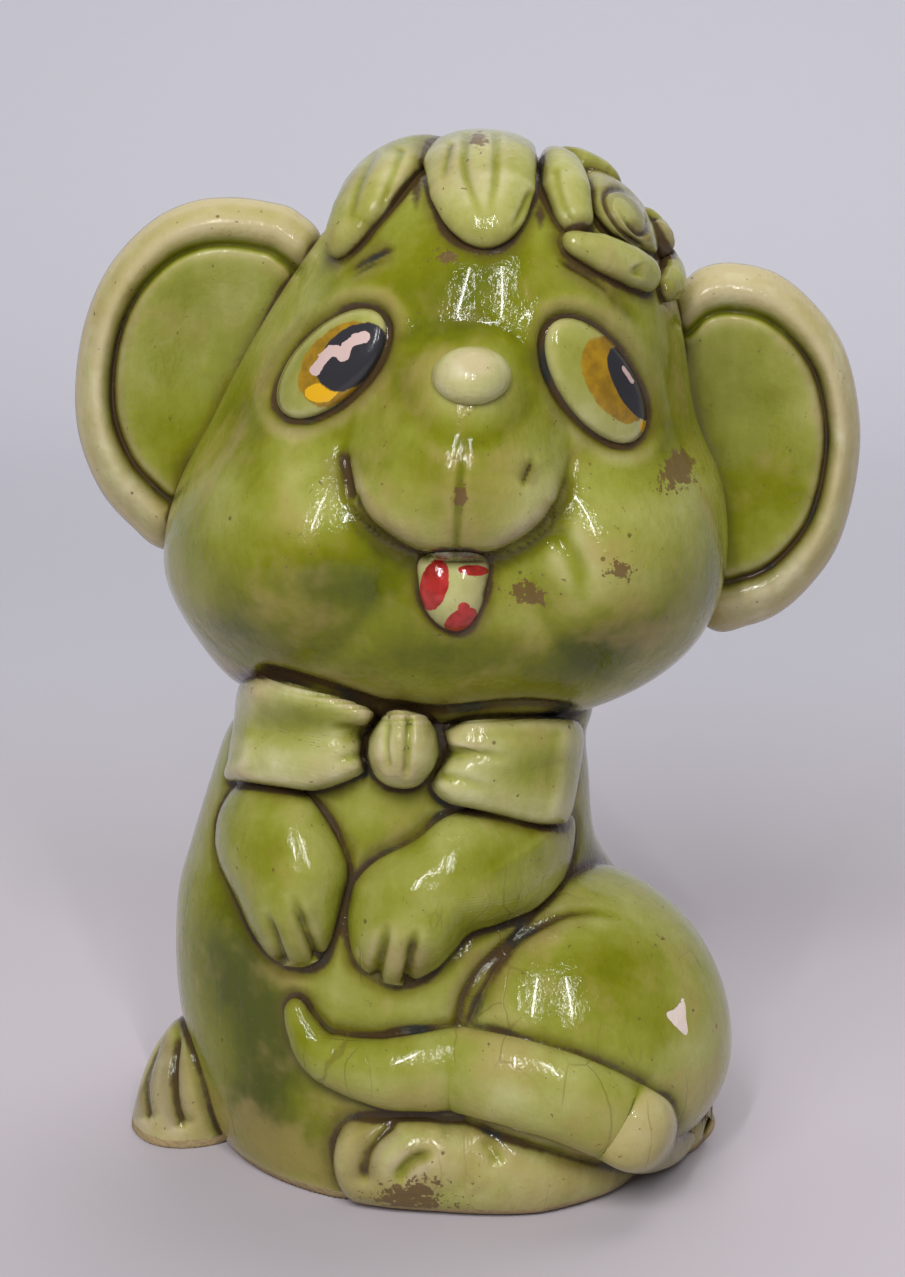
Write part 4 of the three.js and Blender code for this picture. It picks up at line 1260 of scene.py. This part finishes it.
def painted_tongue():
    made, g, shader = new_material("Painted tongue")
    look = g.node("ShaderNodeGroup", node_tree=ANTIQUED)
    look.inputs["Pale"].default_value = 1.0
    red = g.mix(g.between(-0.15, 0.2, g.noise(g.place(), 1.8)), srgb(168, 46, 42), srgb(128, 30, 20))
    g.feed(shader.inputs["Base Color"], g.mix(patch(g, "red", 0.35), look.outputs["Colour"], red))
    g.feed(shader.inputs["Roughness"], look.outputs["Roughness"])
    shader.inputs["Coat Weight"].default_value = 0.5
    shader.inputs["Coat Roughness"].default_value = 0.06
    bump = g.node("ShaderNodeBump", {"Height": look.outputs["Height"], "Strength": 0.4, "Distance": 0.0007})
    g.feed(shader.inputs["Normal"], bump.outputs[0])
    return made


def rubber():
    made, g, shader = new_material("Aged rubber")
    where = g.place()
    shader.inputs["Base Color"].default_value = srgb(205, 191, 164)
    g.feed(shader.inputs["Roughness"], g.add(0.55, g.times(g.noise(where, 3.0), 0.3)))
    bump = g.node("ShaderNodeBump", {"Height": g.noise(where, 0.6), "Strength": 0.3, "Distance": 0.0002})
    g.feed(shader.inputs["Normal"], bump.outputs[0])
    return made


MATERIALS = {
    "green_glaze": glazed("Green glaze", 0.0, 0.5),
    "pale_glaze": glazed("Pale glaze", 0.75, 0.3),
    "eye_paint": painted_eye(),
    "tongue_paint": painted_tongue(),
    "stopper_rubber": rubber(),
}

# ---- finished pieces -----------------------------------------------------------------------------


def cavity(piece, rounds):
    """How far the surface lies below (above 0) or above its smoothed self, in millimetres."""
    edges = np.zeros(len(piece.mesh.edges) * 2, np.int32)
    piece.mesh.edges.foreach_get("vertices", edges)
    a, b = edges.reshape(-1, 2).T
    count = np.bincount(a, minlength=len(piece.co)) + np.bincount(b, minlength=len(piece.co))
    smooth = piece.co.copy()
    for _ in range(rounds):
        sums = []
        for i in range(3):
            ahead = np.bincount(a, smooth[b, i], len(smooth))
            sums.append(ahead + np.bincount(b, smooth[a, i], len(smooth)))
        total = np.stack(sums, 1)
        smooth = 0.5 * smooth + 0.5 * total / count[:, None]
    return np.sum((smooth - piece.co) * piece.normals, axis=1)


MASKS = ("pool_and_shade", "halo_and_shade", "hollow", "ridge", "stain", "chip", "clay", "iris", "pupil", "flake", "fresh", "red")


def finish(piece):
    piece.co[:, 2] = np.maximum(piece.co[:, 2], 0)
    piece.update()
    sunk = cavity(piece, 30)
    piece.mark("ridge", np.clip(-sunk / 0.35, 0, 1), most=False)
    piece.mark("hollow", np.clip(sunk / 0.35, 0, 1) * 0.5, most=False)
    foot = smoothstep(2.6, 0.4, piece.co[:, 2])
    piece.mark("clay", foot)
    piece.co = piece.co + AXIS
    flat = (piece.co * MM).astype(np.float32)
    piece.mesh.vertices.foreach_set("co", flat.ravel())
    for name in MASKS:
        if name in piece.masks:
            layer = piece.mesh.attributes.new(name, "FLOAT", "POINT")
            layer.data.foreach_set("value", piece.masks[name].astype(np.float32))
    piece.mesh.polygons.foreach_set("use_smooth", np.ones(len(piece.mesh.polygons), bool))
    piece.mesh.update()
    show(piece.name, piece.mesh, piece.slot, "figure")


def show(name, mesh, slot, body):
    mesh.materials.append(MATERIALS[slot])
    made = bpy.data.objects.new(name + "_look", mesh)
    bpy.context.scene.collection.objects.link(made)
    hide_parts(name)
    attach(made, body)


down = np.arccos(np.clip(body.unit[:, 2], -1, 1)) / math.pi
body.mark("clay", smoothstep(OUTER_SHARE - 0.004, OUTER_SHARE + 0.004, down))
for piece in pieces.values():
    finish(piece)
stopper_mesh = make_stopper()
stopper_mesh.polygons.foreach_set("use_smooth", np.zeros(len(stopper_mesh.polygons), bool))
show("stopper", stopper_mesh, "stopper_rubber", "stopper")

# ---- table, lights and camera --------------------------------------------------------------------


def seamless_sweep():
    """A pale table that curves up into its backdrop, with painted shade making it darker near the front. It
    can't be seen from below.
    """
    depth, rise, curve, half = 0.55, 1.6, 0.35, 1.6
    profile = [(-1.4, 0.0), (depth, 0.0)]
    for step in range(1, 25):
        a = math.pi / 2 * step / 24
        profile.append((depth + curve * math.sin(a), curve * (1 - math.cos(a))))
    profile.append((depth + curve, rise))
    shape = bmesh.new()
    line = [shape.verts.new((-half, y, z)) for y, z in profile]
    edges = [shape.edges.new(pair) for pair in zip(line, line[1:])]
    made = bmesh.ops.extrude_edge_only(shape, edges=edges)
    moved = [v for v in made["geom"] if isinstance(v, bmesh.types.BMVert)]
    bmesh.ops.translate(shape, verts=moved, vec=(2 * half, 0, 0))
    bmesh.ops.recalc_face_normals(shape, faces=shape.faces)
    shape.faces.ensure_lookup_table()
    if shape.faces[0].normal.z < 0:
        bmesh.ops.reverse_faces(shape, faces=shape.faces)
    mesh = bpy.data.meshes.new("table_sweep")
    shape.to_mesh(mesh)
    shape.free()
    mesh.polygons.foreach_set("use_smooth", np.ones(len(mesh.polygons), bool))
    made, g, shader = new_material("Pale table with painted shade")
    # painted shade: the table is darker near the front and lighter towards the backdrop
    back = g.node("ShaderNodeSeparateXYZ", {0: g.place()}).outputs["Y"]
    near = g.mix(g.between(60, 300, back), srgb(180, 173, 179), srgb(182, 180, 187))
    g.feed(shader.inputs["Base Color"], g.mix(g.between(300, 850, back), near, srgb(201, 200, 208)))
    shader.inputs["Roughness"].default_value = 0.85
    behind = g.node("ShaderNodeNewGeometry").outputs["Backfacing"]
    g.feed(shader.inputs["Alpha"], g.math("SUBTRACT", 1.0, behind))
    mesh.materials.append(made)
    table = bpy.data.objects.new("table_sweep", mesh)
    bpy.context.scene.collection.objects.link(table)


seamless_sweep()


def lamp(name, azimuth, elevation, distance, size, power, colour=(1, 1, 1), aim=(0, 0, 0.08)):
    """A rectangular studio light. Azimuth is measured from the front, in degrees."""
    data = bpy.data.lights.new(name, "AREA")
    data.shape = "RECTANGLE"
    data.size, data.size_y = size
    data.energy = power
    data.color = colour
    a, e = math.radians(azimuth), math.radians(elevation)
    towards = Vector((math.sin(a) * math.cos(e), -math.cos(a) * math.cos(e), math.sin(e)))
    spot = towards * distance + Vector(aim)
    made = bpy.data.objects.new(name, data)
    made.location = spot
    made.rotation_euler = (Vector(aim) - spot).to_track_quat("-Z", "Y").to_euler()
    bpy.context.scene.collection.objects.link(made)
    return made


lamp("strip_left", -14, 40, 1.1, (0.022, 0.48), 3.6)
lamp("strip_right", 14, 40, 1.1, (0.022, 0.48), 3.6)
# The two broad lights soften the shading and are kept out of the glaze's reflections.
lamp("overhead", 150, 66, 1.3, (0.9, 0.9), 9.5).visible_glossy = False
lamp("front_fill", -20, 38, 1.3, (0.9, 0.9), 9.6).visible_glossy = False

world = bpy.data.worlds.new("Soft studio")
world.use_nodes = True
world.node_tree.nodes["Background"].inputs["Color"].default_value = (0.95, 0.95, 1.0, 1.0)
world.node_tree.nodes["Background"].inputs["Strength"].default_value = 0.14
bpy.context.scene.world = world
bpy.context.scene.view_settings.view_transform = "Standard"

camera_data = bpy.data.cameras.new("camera")
camera_data.lens = 76.1
camera_data.sensor_width = 36
camera_data.shift_x = -0.01135
camera_data.clip_start = 0.01
camera = bpy.data.objects.new("camera", camera_data)
camera.location = Vector((EYE + AXIS) * MM)
camera.rotation_euler = (math.radians(90) - VIEW_ELEVATION, 0, 0)
bpy.context.scene.collection.objects.link(camera)
bpy.context.scene.camera = camera
